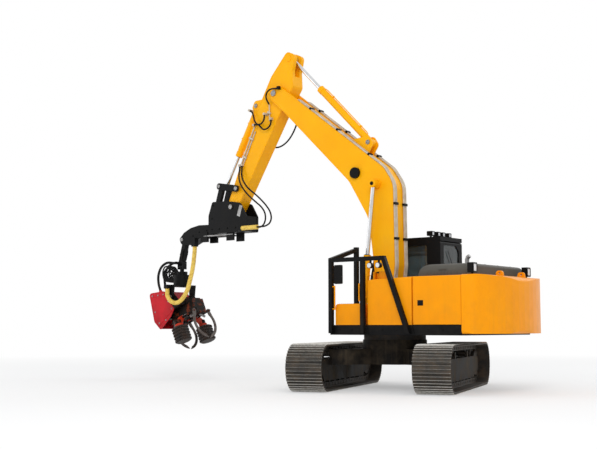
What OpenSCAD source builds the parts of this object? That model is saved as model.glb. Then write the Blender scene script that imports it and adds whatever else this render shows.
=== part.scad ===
// Forestry harvester: a crawler carrier with a guarded cab, a two-piece boom and a hanging harvester head.
// Millimetres. The origin is on the ground under the slewing axis, +X ahead over the boom, +Z up.

/* [Undercarriage] */
// Angle by which the undercarriage is turned from the boom's plane
track_turn = 109.5; // [90:0.5:120]
// Distance between the centre lines of the two tracks
gauge = 2390; // [2250:10:2600]
// Width of a track shoe
shoe_w = 700; // [600:10:800]
// Distance between the idler's and the sprocket's centres
wheelbase = 3540; // [3400:10:3800]
// Height of a track over its grousers
track_h = 900; // [880:5:960]
// Number of shoes in one track
shoe_count = 50; // [46:1:52]
// Height of a grouser over its shoe's plate
grouser_h = 26; // [18:1:30]
// Thickness of a shoe's plate
shoe_t = 20; // [14:1:26]
// Height of the chain's links under the shoes
link_h = 100; // [90:1:110]
// Number of bottom rollers on one side
roller_count = 8; // [6:1:8]
// Height of the clear space under the car body
ground_gap = 480; // [440:5:500]
// Height of the slewing ring's foot
ring_foot_z = 960; // [950:5:980]

/* [Platform] */
// Height of the platform's underside
deck_z = 1060; // [1050:5:1080]
// Thickness of the platform's base plate
deck_t = 40; // [30:2:50]
// Height of the side frames over the base plate's underside
skirt_h = 190; // [170:5:210]
// Half of the platform's width
half_w = 1330; // [1310:5:1350]
// Swing radius of the counterweight's tail
tail_r = 2860; // [2800:10:2900]
// Distance from the slewing axis to the counterweight's front face
cw_x = 2300; // [2260:10:2340]
// Height of the bodywork's top
body_z = 2140; // [2100:5:2160]
// Height of the tank's front end
tank_z = 2100; // [2060:5:2120]
// Height of the engine hood's crown
hood_z = 2370; // [2340:5:2400]
// Height of the counterweight's top
cw_z = 2150; // [2130:5:2170]

/* [Cab] */
// Height of the cab's roof
cab_z = 2945; // [2900:5:2980]
// Distance of the cab's rear wall behind the slewing axis
cab_back = 800; // [780:10:840]
// Distance of the cab's front ahead of the slewing axis
cab_front = 950; // [920:10:1000]
// Distance of the cab's inner wall from the boom's plane
cab_in = 470; // [440:5:470]
// Thickness of the cab's walls
cab_t = 50; // [40:2:60]

/* [Boom] */
// Boom's foot pin, ahead of the slewing axis
foot_x = 100; // [80:10:140]
// Boom's foot pin, height
foot_z = 1820; // [1800:10:1850]
// Length of the boom from its foot pin to its tip pin
boom_l = 5400; // [5350:10:5450]
// Angle of the line from the foot pin to the tip pin
boom_angle = 57.5; // [56:0.5:59]
// Width of the boom
boom_w = 460; // [440:5:480]
// Thickness of the boom's and the arm's plates
plate_t = 16; // [12:1:20]
// Diameter of the large pins
pin_d = 100; // [90:5:110]

/* [Arm] */
// Length of the arm from the boom's tip pin to its own tip pin
arm_l = 2760; // [2700:10:2800]
// Angle of the arm below the horizontal
arm_down = 62.3; // [60:0.1:65]
// Width of the arm
arm_w = 340; // [330:2:346]

/* [Cylinders] */
// Outer diameter of the boom cylinders' barrels
boom_barrel_d = 135; // [125:1:140]
// Outer diameter of the arm and tool cylinders' barrels
arm_barrel_d = 150; // [140:1:156]
// Diameter of the rods
rod_d = 85; // [75:1:90]

/* [Head] */
// Distance of the pin that the head hangs from, ahead of the slewing axis
hang_x = 5900; // [5880:5:5920]
// Height of that pin
hang_z = 3270; // [3260:5:3290]
// Distance of the rotator's axis ahead of the slewing axis
rotator_x = 6040; // [6020:5:6060]
// Height of the hanging link's lower pin
cross_z = 2640; // [2630:5:2660]
// Height of the pin that the head tilts on
tilt_z = 1920; // [1905:5:1935]
// Angle by which the head is tilted
head_tilt = 24; // [20:0.5:28]
// Length of the head's frame
head_l = 800; // [760:10:840]
// Diameter of a feed roller over its spikes
roller_d = 400; // [370:10:420]
// Height of a feed roller
roller_h = 360; // [330:10:380]

/* [Hidden] */
$fn = 48;

// Running gap of a pin in its bore and of faces that carry each other
run = 0.3;
// Gap between pieces that move past each other
pass = 6;
corner_steps = 6;

yellow = [0.96, 0.62, 0.08];
black = [0.12, 0.12, 0.13];
grey = [0.34, 0.34, 0.35];
steel = [0.55, 0.55, 0.56];
chrome = [0.8, 0.8, 0.82];
red = [0.75, 0.1, 0.14];

// Arc that rounds corner b of the path a, b, c
function unit(v) = v / norm(v);
function corner(a, b, c, r) =
    let (u = unit(a - b), w = unit(c - b), half = acos(max(-1, min(1, u * w))) / 2,
        reach = r / tan(half), o = b + unit(u + w) * r / sin(half), s = b + u * reach - o,
        e = b + w * reach - o, a0 = atan2(s.y, s.x), sweep = (atan2(e.y, e.x) - a0 + 540) % 360 - 180)
    [for (i = [0:corner_steps]) o + r * [cos(a0 + sweep * i / corner_steps),
        sin(a0 + sweep * i / corner_steps)]];
// Outline of a table whose columns are x, y and the radius of the corner
function rounded(t) =
    let (n = len(t), at = function (i) [t[(i + n) % n][0], t[(i + n) % n][1]])
    [for (i = [0:n - 1]) each t[i][2] > 0 ? corner(at(i - 1), at(i), at(i + 1), t[i][2]) : [at(i)]];

// Flat plate in the X-Z plane from y0 to y1
module plate(points, y0, y1) {
    translate([0, y1, 0]) rotate([90, 0, 0]) linear_extrude(y1 - y0) polygon(points);
}
// The same on both sides of the plane Y = 0
module plates(points, y0, y1) {
    plate(points, y0, y1);
    plate(points, -y1, -y0);
}
// Flat plate in the Y-Z plane from x0 to x1
module section(points, x0, x1) {
    translate([x0, 0, 0]) rotate([90, 0, 90]) linear_extrude(x1 - x0) polygon(points);
}
// Round bar along Y
module bar_y(x, z, y0, y1, d) {
    translate([x, y0, z]) rotate([-90, 0, 0]) cylinder(h = y1 - y0, d = d);
}
// Box given by its lowest and highest corners
module block(a, b) {
    translate(a) cube(b - a);
}
// Round bar between two points
module strut(a, b, d) {
    v = b - a;
    translate(a) rotate([0, acos(v.z / norm(v)), atan2(v.y, v.x)]) cylinder(h = norm(v), d = d);
}

// Points on an arc about c
function arc(c, r, a0, a1, n) = [for (i = [0:n]) c + r * [cos(a0 + (a1 - a0) * i / n),
    sin(a0 + (a1 - a0) * i / n)]];
// Round tube along a route whose points never run along Y, with a ring across each point
module tube(route, d, sides) {
    n = len(route);
    dir = [for (i = [0:n - 1]) unit(route[min(i + 1, n - 1)] - route[max(i - 1, 0)])];
    u = [for (v = dir) unit(cross([0, 1, 0], v))];
    polyhedron(
        [for (i = [0:n - 1]) for (k = [0:sides - 1]) let (a = 360 * k / sides)
            route[i] + d / 2 * (cos(a) * u[i] + sin(a) * cross(dir[i], u[i]))],
        concat([for (i = [0:n - 2]) for (k = [0:sides - 1]) let (a = i * sides + k,
        b = i * sides + (k + 1) % sides)
            each [[a, a + sides, b], [b, a + sides, b + sides]]],
            [[for (k = [0:sides - 1]) k], [for (k = [sides - 1:-1:0]) (n - 1) * sides + k]]));
}

// Undercarriage, in its own axes: X along the tracks
wheel_z = track_h / 2;
plate_r = wheel_z - grouser_h;
chain_r = plate_r - shoe_t;
rail_r = chain_r - link_h;
half_base = wheelbase / 2;
straight = wheelbase;
turn = PI * plate_r;
loop_l = 2 * (straight + turn);
link_y0 = 55;
link_y1 = 97;
skirt_y0 = 110;
skirt_y1 = 145;
frame_z1 = 590;
roller_r = 85;
roller_flange = 22;
roller_z = wheel_z - rail_r + roller_r + run;
frame_z0 = roller_z + roller_r + roller_flange + 2 * pass;
carrier_r = 62;
carrier_z = wheel_z + rail_r - carrier_r - run;
ring_r = 640;

module turned() {
    rotate([0, 0, track_turn]) children();
}
// Point of the track's loop at distance s along it, off the shoe plates' outer face by h
function loop_pt(s0, h) =
    let (s = s0 % loop_l)
    s < straight ? [half_base - s, wheel_z - plate_r - h]
    : s < straight + turn ? let (q = (s - straight) / plate_r * 180 / PI)
        [-half_base - (plate_r + h) * sin(q), wheel_z - (plate_r + h) * cos(q)]
    : s < 2 * straight + turn ? [-half_base + (s - straight - turn), wheel_z + plate_r + h]
    : let (q = (s - 2 * straight - turn) / plate_r * 180 / PI)
        [half_base + (plate_r + h) * sin(q), wheel_z + (plate_r + h) * cos(q)];
// One shoe's edge: share of its pitch, height over the plate
shoe_edge = [[0.02, -shoe_t + 4], [0.05, 0], [0.13, 0], [0.17, 1], [0.21, 0], [0.46, 0], [0.5, 1],
    [0.54, 0],
    [0.79, 0], [0.83, 1], [0.87, 0], [0.98, 0]];
function shoe_outline() = [for (i = [0:shoe_count - 1]) for (p = shoe_edge)
    loop_pt((i + p[0]) * loop_l / shoe_count, p[1] == 1 ? grouser_h : p[1])];
function ring_outline(r, n) = [
    for (i = [0:n]) [-half_base - r * sin(180 * i / n), wheel_z - r * cos(180 * i / n)],
    for (i = [0:n]) [half_base + r * sin(180 * i / n), wheel_z + r * cos(180 * i / n)]];

module track(side) {
    color(grey) turned() translate([0, side * gauge / 2, 0]) {
        difference() {
            plate(shoe_outline(), -shoe_w / 2, shoe_w / 2);
            plate(ring_outline(chain_r, 16), -shoe_w / 2 - 1, shoe_w / 2 + 1);
        }
        for (m = [-1, 1]) translate([0, m * (link_y0 + link_y1) / 2, 0])
            difference() {
                plate(ring_outline(chain_r + 1, 16), -(link_y1 - link_y0) / 2, (link_y1 - link_y0) / 2);
                plate(ring_outline(rail_r, 16), -link_y1, link_y1);
            }
    }
}

module idlers() {
    color(grey) turned() for (side = [-1, 1]) translate([half_base, side * gauge / 2, wheel_z])
        rotate([90, 0, 0]) {
            cylinder(h = 2 * link_y1, r = rail_r * cos(5.7) - run, center = true);
            cylinder(h = 2 * link_y0 - 14, r = chain_r - 40, center = true);
            cylinder(h = 2 * skirt_y0, r = 60, center = true);
        }
}

tooth_count = 21;
module final_drives() {
    color(grey) turned() for (side = [-1, 1]) translate([-half_base, side * gauge / 2, wheel_z])
        rotate([90, 0, 0]) {
            linear_extrude(2 * link_y0 - 30, center = true) polygon([for (i = [0:tooth_count * 2 - 1])
                (i % 2 == 0 ? chain_r - 30 : chain_r - 75) * [cos(i * 180 / tooth_count),
                    sin(i * 180 / tooth_count)]]);
            cylinder(h = 2 * skirt_y0, r = 250, center = true);
        }
}

module rollers() {
    color(grey) turned() for (side = [-1, 1]) translate([0, side * gauge / 2, 0]) {
        span = wheelbase - 1060;
        for (i = [0:roller_count - 1]) translate([-span / 2 + span * i / (roller_count - 1), 0, roller_z])
            rotate([90, 0, 0]) {
                cylinder(h = 2 * link_y1, r = roller_r, center = true);
                cylinder(h = 2 * link_y0 - 12, r = roller_r + roller_flange, center = true);
                cylinder(h = 2 * skirt_y0, r = 35, center = true);
            }
        for (x = [-650, 650]) translate([x, 0, carrier_z]) rotate([90, 0, 0]) {
            cylinder(h = 2 * link_y1, r = carrier_r, center = true);
            cylinder(h = 2 * skirt_y0, r = 28, center = true);
        }
    }
}

module track_frames() {
    nose = half_base - 200;
    color(black) turned() for (side = [-1, 1]) translate([0, side * gauge / 2, 0]) {
        // Box beam over the rollers, with its ends round the idler's and the sprocket's hubs
        plate(rounded([[-half_base + 420, frame_z0, 0], [half_base - 420, frame_z0, 0],
            [half_base - 420, frame_z1, 40],
            [half_base - 700, frame_z1 + 20, 0], [-half_base + 600, frame_z1 + 20, 0],
            [-half_base + 420, frame_z1, 40]]),
            -skirt_y0, skirt_y0);
        for (m = [-1, 1]) translate([0, m * (skirt_y0 + skirt_y1) / 2, 0]) difference() {
            plate(rounded([[-half_base - 130, wheel_z - 130, 60], [-half_base + 300, 250, 60],
                [-half_base + 420, roller_z - 50, 20],
                [half_base - 420, roller_z - 50, 20], [half_base - 300, 300, 60],
                [half_base + 90, wheel_z - 90, 60],
                [half_base + 90, wheel_z + 90, 60], [half_base - 420, frame_z1, 60],
                [half_base - 700, frame_z1 + 20, 60],
                [-half_base + 500, frame_z1 + 20, 60], [-half_base - 130, wheel_z + 130, 60]]),
                -(skirt_y1 - skirt_y0) / 2, (skirt_y1 - skirt_y0) / 2);
        }
        for (x = [-650, 650]) for (m = [-1, 1]) translate([0, m * (skirt_y0 + skirt_y1) / 2, 0])
            plate([[x - 60, frame_z1], [x + 60, frame_z1], [x + 40, carrier_z + 40],
                [x - 40, carrier_z + 40]],
                -(skirt_y1 - skirt_y0) / 2, (skirt_y1 - skirt_y0) / 2);
    }
}

module car_body() {
    inner = gauge / 2 - skirt_y1;
    color(black) turned() {
        translate([0, 0, ground_gap]) cylinder(h = ring_foot_z - ground_gap, r = ring_r);
        // Four box legs from the middle to the track frames
        for (mx = [-1, 1]) for (my = [-1, 1]) scale([mx, my, 1])
            translate([0, 0, ground_gap]) linear_extrude(300)
                polygon([[100, 300], [420, 200], [1050, inner - 60], [1050, inner], [560, inner],
                    [420, inner - 130], [100, 640]]);
    }
}

module slew_ring() {
    color(steel) difference() {
        translate([0, 0, ring_foot_z]) cylinder(h = deck_z - ring_foot_z - run, r = ring_r - 20);
        translate([0, 0, ring_foot_z - 1]) cylinder(h = deck_z, r = ring_r - 140);
    }
}

// Platform
ear_y0 = boom_w / 2 + pass;
ear_t = 40;
gland_d = 16;
ram_y = ear_y0 + ear_t + pass + (boom_barrel_d + gland_d) / 2;
ram_foot_x = 550;
ram_foot_z = 1360;
ram_pin_d = 85;
eye_w = 110;
ram_plate_y = ram_y + max(eye_w, boom_barrel_d) / 2 + pass;
ram_plate_t = 30;
deck_top = deck_z + skirt_h;
deck_y0 = ram_plate_y + ram_plate_t + 20;
near_x1 = 620;
skirt_t = 30;
step_x0 = -90;
step_x1 = 490;
step_w = 520;
step_z = 1655;
tank_x0 = -1270;
tank_x1 = -270;
edge_r = 55;

module platform() {
    color(black) {
        // Base plate, side frames with their skirts, and the deck's top plates
        block([-cw_x, -half_w, deck_z], [near_x1, half_w, deck_z + deck_t]);
        block([near_x1 - 1, -half_w, deck_z], [cab_front + 50, -cab_in, deck_z + deck_t]);
        // Side frames, columns: front end, outer face, inner face
        for (s = [[near_x1, half_w - skirt_t, half_w], [cab_front + 50, -half_w, -half_w + skirt_t]])
            block([-cw_x, s[1], deck_z + deck_t - 1], [s[0], s[2], deck_top]);
        for (s = [[near_x1, deck_y0, half_w], [cab_front + 50, -half_w, -deck_y0]])
            block([-cw_x, s[1], deck_top - 12], [s[0], s[2], deck_top]);
        block([cab_front + 20, -half_w, deck_z + deck_t - 1], [cab_front + 50, -cab_in, deck_top]);
        block([near_x1 - skirt_t, deck_y0, deck_z + deck_t - 1], [near_x1, half_w, deck_top]);
        // Boom brackets, and the outer plates of the boom cylinders' feet
        plates(rounded([[-1240, deck_z + deck_t - 1, 0], [800, deck_z + deck_t - 1, 0], [760, 1240, 60],
            [ram_foot_x + 120, 1480, 60], [foot_x + 200, 1640, 200], [foot_x + 190, foot_z + 190, 170],
            [foot_x - 190, foot_z + 190, 170], [foot_x - 420, 1660, 300], [-1240, 1420, 0]]),
            ear_y0, ear_y0 + ear_t);
        plates(rounded([[ram_foot_x - 160, deck_z + deck_t - 1, 0],
            [ram_foot_x + 200, deck_z + deck_t - 1, 0],
            [ram_foot_x + 110, ram_foot_z + 110, 100], [ram_foot_x - 110, ram_foot_z + 110, 100]]),
            ram_plate_y, ram_plate_y + ram_plate_t);
        block([near_x1 - 1, -ram_plate_y - ram_plate_t, deck_z],
            [ram_foot_x + 250, ram_plate_y + ram_plate_t, deck_z + deck_t]);
        bar_y(foot_x, foot_z, -ear_y0 - ear_t - 30, ear_y0 + ear_t + 30, pin_d);
        for (m = [-1, 1]) scale([1, m, 1]) bar_y(ram_foot_x, ram_foot_z, ear_y0 + 1,
            ram_plate_y + ram_plate_t + 4, ram_pin_d);
    }
}

// Counterweight: its plan, and its profiles seen from the side and from behind
cw_corner = 240;
cw_y = half_w + 15;
cw_z0 = deck_z + 30;
eye_x = -2590;
eye_y = 430;
eye_z = cw_z + 45;
module counterweight() {
    turn_a = asin((cw_y - cw_corner) / (tail_r - cw_corner));
    tail = arc([0, 0], tail_r, 180 - turn_a, 180 + turn_a, 12);
    corner_c = (tail_r - cw_corner) * [cos(180 - turn_a), sin(180 - turn_a)];
    near = arc(corner_c, cw_corner, 90, 172 - turn_a, 6);
    plan = concat([[-cw_x - run, cw_y]], near, tail, [for (i = [len(near) - 1:-1:0]) [near[i].x,
        -near[i].y]], [[-cw_x - run, -cw_y]]);
    color(yellow) {
        intersection() {
            translate([0, 0, cw_z0]) linear_extrude(cw_z - cw_z0) polygon(plan);
            plate(rounded([[-cw_x, cw_z0, 0], [-cw_x, cw_z, 0], [-2620, cw_z, 300],
                [-tail_r - 1, cw_z - 50, 110],
                [-tail_r - 1, cw_z0 - 10, 90]]), -cw_y, cw_y);
            section(rounded([[-cw_y, cw_z0 - 1, 50], [cw_y, cw_z0 - 1, 50], [cw_y, cw_z, edge_r],
                [-cw_y, cw_z, edge_r]]),
                -tail_r - 10, -cw_x);
        }
        // Two lifting eyes
        for (m = [-1, 1]) difference() {
            plate(rounded([[eye_x - 80, cw_z - 6, 0], [eye_x + 80, cw_z - 6, 0],
                [eye_x + 62, eye_z + 45, 50],
                [eye_x - 62, eye_z + 45, 50]]), m * eye_y - 18, m * eye_y + 18);
            bar_y(eye_x, eye_z, m * eye_y - 20, m * eye_y + 20, 40);
        }
    }
}

tank_in = deck_y0;
module tank_block() {
    color(yellow) {
        intersection() {
            plate(rounded([[tank_x0 + 20, deck_top + run, 0], [tank_x0 + 20, body_z, 0],
                [tank_x1, tank_z, edge_r],
                [tank_x1, deck_top + run, 25]]), tank_in, half_w);
            section(rounded([[tank_in, deck_top, 0], [tank_in, body_z, 20], [half_w, body_z, edge_r],
                [half_w, deck_top, 0]]),
                tank_x0, tank_x1 + 1);
        }
        // Raised housing of the filler, columns: rear end, front end
        for (s = [[tank_x1 - 350, tank_x1 - 180], [tank_x1 - 70, tank_x1 - 40]])
            block([s[0], half_w - 300, tank_z - 20], [s[1], half_w - 130, tank_z + 160]);
        translate([tank_x1 - 125, half_w - 215, tank_z - 20]) cylinder(h = 150, d = 90);
    }
}
module step_box() {
    color(yellow) plate(rounded([[step_x0, deck_top + run, 0], [step_x0, step_z, 30], [step_x1, step_z, 60],
        [step_x1, deck_top + run, 0]]), half_w - step_w, half_w);
}

// Engine bay
door_t = 30;
bay_t = 30;
door_pin_d = 16;
door_pin_x = tank_x0 - 8;
door_edge_x = tank_x0 - 12;
door_hinge_z = [deck_top + 150, body_z - 250];
bay_y = half_w - door_t - pass;
post_w = 60;
hood_w = 1100;
hood_x0 = -cw_x + 10;
hood_x1 = tank_x0 + 4;
hood_pin_x = hood_x1 + 20;
hood_pin_z = body_z + 18;
hood_pin_d = 16;
hood_knuckle_d = 32;
hood_hinge_y = [-700, 300];
knuckle_w = 60;
far_x1 = -cab_back - 30;
far_y0 = -ear_y0 - ear_t - 40;
module bay_frame() {
    color(yellow) {
        // Bulkhead, rear posts, side rails, top plates and the rear rail
        block([tank_x0 - bay_t, -bay_y, deck_top + run], [tank_x0, bay_y, body_z]);
        for (m = [-1, 1]) scale([1, m, 1]) {
            block([-cw_x + 20, bay_y - post_w, deck_top + run], [-cw_x + 80, bay_y, body_z]);
            section(rounded([[hood_w - 40, body_z - 30, 0], [hood_w - 40, body_z, 0], [bay_y, body_z, 20],
                [bay_y, body_z - 60, 0],
                [bay_y - 30, body_z - 60, 0], [bay_y - 30, body_z - 30, 0]]), -cw_x + 20,
                tank_x0 - bay_t + 1);
            // Knuckles that the doors hang on
            for (z = door_hinge_z) {
                translate([door_pin_x, half_w - door_t / 2, z + 45 + run]) cylinder(h = 45, d = door_pin_d);
                block([door_pin_x - 6, bay_y - 1, z + 45 + run],
                    [door_pin_x + 6, half_w - door_t / 2, z + 90 + run]);
            }
        }
        block([-cw_x + 20, -bay_y, body_z - 40], [-cw_x + 80, bay_y, body_z]);
        // Block behind the cab, with its outer corner rounded
        section(rounded([[-bay_y, deck_top + run, 0], [far_y0, deck_top + run, 0], [far_y0, body_z, 20],
            [-bay_y, body_z, edge_r]]),
            tank_x0 - 1, far_x1);
        // Lugs and pins of the hood's hinges
        for (y = hood_hinge_y) {
            for (e = [y - 12 - run, y + knuckle_w + run]) plate([[tank_x0 - 1, body_z - 60],
                [hood_pin_x + 16, body_z - 20],
                [hood_pin_x + 16, hood_pin_z + 14], [hood_pin_x - 14, hood_pin_z + 14],
                [hood_pin_x - 14, body_z - 5],
                [tank_x0 - 1, body_z - 10]], e, e + 12);
            bar_y(hood_pin_x, hood_pin_z, y - 2, y + knuckle_w + 2, hood_pin_d);
        }
    }
}
module side_door(m) {
    color(yellow) scale([1, m, 1]) {
        difference() {
            intersection() {
                block([-cw_x + 15, half_w - door_t, deck_top + pass], [door_edge_x, half_w, body_z]);
                section(rounded([[half_w - door_t, deck_top, 0], [half_w - door_t, body_z, 0],
                    [half_w, body_z, 24], [half_w, deck_top, 0]]),
                    -cw_x, tank_x0);
            }
            for (z = door_hinge_z) {
                translate([door_pin_x, half_w - door_t / 2, z + 45]) cylinder(h = 52,
                    d = door_pin_d + 2 * pass);
                block([door_pin_x - door_pin_d / 2 - pass, half_w - door_t - 1, z + 45],
                    [door_pin_x + 1, half_w - door_t / 2, z + 97]);
            }
        }
        for (z = door_hinge_z) translate([door_pin_x, half_w - door_t / 2, z]) cylinder(h = 45,
            d = door_pin_d);
    }
}
// Block of the hood's outer form, shrunk by d
module hood_form(d) {
    low = body_z + (d > 0 ? -50 : run);
    intersection() {
        plate(rounded([[hood_x0 + d, low, 0], [hood_x0 + d, hood_z - d, 60],
            [hood_x1 - d, hood_z - d, 200 - d], [hood_x1 - d, low, 0]]),
            -hood_w, hood_w);
        section(rounded([[-hood_w + d, low, 0], [-hood_w + d, hood_z - d, 160 - d],
            [hood_w - d, hood_z - d, 160 - d], [hood_w - d, low, 0]]),
            hood_x0 - 1, hood_x1 + 1);
    }
}
module engine_hood() {
    color(grey) difference() {
        union() {
            hood_form(0);
            for (y = hood_hinge_y) {
                bar_y(hood_pin_x, hood_pin_z, y, y + knuckle_w, hood_knuckle_d);
                block([hood_x1 - 2, y, hood_pin_z - 8], [hood_pin_x, y + knuckle_w, hood_pin_z + 12]);
            }
        }
        hood_form(16);
        for (y = hood_hinge_y) bar_y(hood_pin_x, hood_pin_z, y - 20, y + knuckle_w + 20,
            hood_pin_d + 2 * run);
    }
}
module engine_block() {
    color(grey) block([-cw_x + 180, -380, deck_z + deck_t + run], [tank_x0 - 180, 380, 1950]);
}

// Cab: profile in the X-Z plane, columns x, z and corner radius
cab_z0 = deck_top + run;
cab_y0 = -half_w;
cab_profile = [[-cab_back, cab_z0, 0], [cab_front - 60, cab_z0, 40], [cab_front, cab_z0 + 300, 120],
    [cab_front - 20, cab_z0 + 900, 200],
    [cab_front - 190, cab_z, 120], [-cab_back, cab_z, 50]];
door_x0 = -330;
door_x1 = 640;
door_z0 = cab_z0 + 70;
door_z1 = cab_z - 150;
door_w = 46;
hinge_d = 26;
hinge_y = cab_y0 - 16;
hinge_h = 60;
glass_t = 6;
// Openings in the cab's walls, columns: x, z, corner radius
door_edge = [[door_x0, door_z0, 40], [door_x1 - 60, door_z0, 60], [door_x1, door_z0 + 300, 120],
    [door_x1 - 10, door_z0 + 900, 120],
    [door_x1 - 80, door_z1, 90], [door_x0, door_z1, 60]];
door_window = [[door_x0 + 90, cab_z0 + 800, 40], [door_x1 - 90, cab_z0 + 760, 60],
    [door_x1 - 150, door_z1 - 80, 60], [door_x0 + 90, door_z1 - 80, 60]];
side_window = [[-485, cab_z0 + 620, 60], [cab_front - 160, cab_z0 + 480, 80],
    [cab_front - 260, cab_z - 80, 80], [-485, cab_z - 80, 60]];
// The rear window's columns: y, z, corner radius
rear_post = 130;
rear_window = [[cab_y0 + rear_post, cab_z0 + 920, 40], [-cab_in - rear_post, cab_z0 + 920, 40],
    [-cab_in - rear_post, cab_z - 80, 50],
    [cab_y0 + rear_post + 110, cab_z - 80, 10], [cab_y0 + rear_post, cab_z - 190, 10]];
function shrunk(t, d) = let (c = [for (k = [0, 1]) (min([for (p = t) p[k]]) + max([for (p = t) p[k]])) / 2])
    [for (p = t) [p[0] + (p[0] < c[0] ? d : -d), p[1] + (p[1] < c[1] ? d : -d), max(p[2] - d, 1)]];
pane_y0 = cab_y0 + 110;
pane_y1 = -cab_in - 110;
front_z0 = cab_z0 + 560;
front_z1 = cab_z - 130;

module cab_shell() {
    inner = [for (p = cab_profile) [p[0] + (p[0] < 0 ? cab_t : -cab_t),
        p[1] + (p[1] < 2000 ? cab_t : -cab_t), p[2]]];
    color(black) difference() {
        plate(rounded(cab_profile), cab_y0, -cab_in);
        plate(rounded(inner), cab_y0 + cab_t, -cab_in - cab_t);
        plate(rounded(door_edge), cab_y0 - 10, cab_y0 + cab_t + 10);
        plate(rounded(side_window), -cab_in - cab_t - 10, -cab_in + 10);
        section(rounded(rear_window), -cab_back - 10, -cab_back + cab_t + 10);
        block([0, pane_y0, front_z0], [cab_front + 100, pane_y1, front_z1]);
    }
    color(black) for (z = [door_z0 + 250, door_z1 - 250]) {
        translate([door_x0 - 8, hinge_y, z]) cylinder(h = hinge_h, d = hinge_d);
        block([door_x0 - 60, cab_y0 - 26, z], [door_x0 - 8, cab_y0 + 1, z + hinge_h]);
    }
}
module cab_door() {
    color(black) {
        difference() {
            plate(rounded(shrunk(door_edge, pass)), cab_y0, cab_y0 + door_w);
            plate(rounded(door_window), cab_y0 - 10, cab_y0 + door_w + 10);
        }
        for (z = [door_z0 + 250 + hinge_h + run, door_z1 - 250 + hinge_h + run]) {
            translate([door_x0 - 8, hinge_y, z]) cylinder(h = hinge_h, d = hinge_d);
            block([door_x0 - 8, cab_y0 - 26, z], [door_x0 + 60, cab_y0 - pass, z + hinge_h]);
            block([door_x0 + 2 * pass, cab_y0 - pass - 1, z], [door_x0 + 60, cab_y0 + 1, z + hinge_h]);
        }
    }
}
module door_glass() {
    color(steel) plate(rounded(shrunk(door_window, run)), cab_y0 + 20, cab_y0 + 20 + glass_t);
}
module cab_glass() {
    color(steel) {
        plate(rounded(shrunk(side_window, run)), -cab_in - 30, -cab_in - 30 + glass_t);
        section(rounded(shrunk(rear_window, run)), -cab_back + 20, -cab_back + 20 + glass_t);
        // Windscreen, which follows the front's profile
        intersection() {
            plate(rounded([for (p = cab_profile) [p[0] + (p[0] < 0 ? 20 : -20),
                p[1] + (p[1] < 2000 ? 20 : -20), p[2]]]),
                pane_y0 + run, pane_y1 - run);
            difference() {
                block([cab_front - 250, pane_y0 + run, front_z0 + run],
                    [cab_front + 10, pane_y1 - run, front_z1 - run]);
                plate(rounded([for (p = cab_profile) let (d = 20 + glass_t) [p[0] + (p[0] < 0 ? d : -d),
                    p[1] + (p[1] < 2000 ? d : -d), p[2]]]),
                    pane_y0, pane_y1);
            }
        }
    }
}
seat_y0 = -1130;
seat_y1 = -730;
module cab_seat() {
    color(black) {
        block([-420, seat_y0 + 60, cab_z0 + cab_t + run], [-20, seat_y1 - 60, 1560]);
        plate(rounded([[-470, 1559, 20], [40, 1559, 60], [60, 1690, 50], [-470, 1670, 40]]), seat_y0,
            seat_y1);
        plate(rounded([[-440, 1640, 30], [-580, 2350, 45], [-470, 2370, 45], [-330, 1660, 30]]),
            seat_y0 + 20, seat_y1 - 20);
        for (s = [[seat_y0 - 70, seat_y0 + 10], [seat_y1 - 10, seat_y1 + 70]])
            plate(rounded([[-385, 1625, 20], [90, 1625, 20], [120, 1795, 40], [-385, 1795, 40]]), s[0],
                s[1]);
    }
}
guard_h = 85;
module cab_guard() {
    x1 = cab_front - 230;
    color(black) {
        difference() {
            block([-cab_back, cab_y0, cab_z + run], [x1, -cab_in, cab_z + guard_h]);
            block([-cab_back + 70, cab_y0 + 70, cab_z + 12], [x1 - 70, -cab_in - 70, cab_z + guard_h + 1]);
        }
        for (i = [1:5]) let (y = cab_y0 + (cab_y0 + cab_in) / -6 * i)
            block([-cab_back + 60, y - 15, cab_z + 11], [x1 - 60, y + 15, cab_z + guard_h - 15]);
    }
}

// Guard round the steps and the tank: square tubes
tube_w = 80;
guard_y0 = half_w + run;
guard_y1 = guard_y0 + tube_w;
guard_z0 = deck_z + 30;
guard_z1 = 2545;
post_x = [526, -224];
inner_y = deck_y0;
inner_z1 = 2810;
brace_top = [-660, guard_z1 - tube_w / 2];
brace_foot = [-1200, guard_z0];
module front_guard() {
    color(black) {
        for (x = post_x) block([x, guard_y0, guard_z0], [x + tube_w, guard_y1, guard_z1 - 1]);
        block([brace_top.x - tube_w / 2, guard_y0, guard_z1 - tube_w],
            [post_x[0] + tube_w, guard_y1, guard_z1]);
        plate([brace_top + [-46, 10], brace_top + [42, 10], brace_foot + [42, 0], brace_foot + [-46, 0]],
            guard_y0, guard_y1);
        // Inner post on the deck, and the sloping rail up to it
        block([post_x[0], inner_y, deck_top + run], [post_x[0] + tube_w, inner_y + tube_w, inner_z1]);
        section([[guard_y1, guard_z1 - tube_w], [guard_y1, guard_z1], [inner_y, inner_z1],
            [inner_y, inner_z1 - tube_w]],
            post_x[0], post_x[0] + tube_w);
        // Foot plates
        for (x = [post_x[1] + tube_w / 2, brace_foot.x]) plate([[x - 110, guard_z0], [x + 110, guard_z0],
            [x + 60, deck_top - 20],
            [x - 60, deck_top - 20]], guard_y0, guard_y0 + 14);
    }
}
module handrails() {
    rail_y = half_w + 45;
    // Columns: x, low end, high end, face of the post that holds it
    color(yellow) for (s = [[post_x[0] - 50, 1540, 2010, post_x[0]],
        [post_x[1] + tube_w + 40, 1700, 2040, post_x[1] + tube_w]]) {
        strut([s[0], rail_y, s[1]], [s[0], rail_y, s[2]], 28);
        for (z = [s[1] + 20, s[2] - 20]) block([min(s[0], s[3] + run), rail_y - 10, z - 10],
            [max(s[0], s[3] - run), rail_y + 10, z + 10]);
    }
}
lamp_stem = 30;
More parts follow.
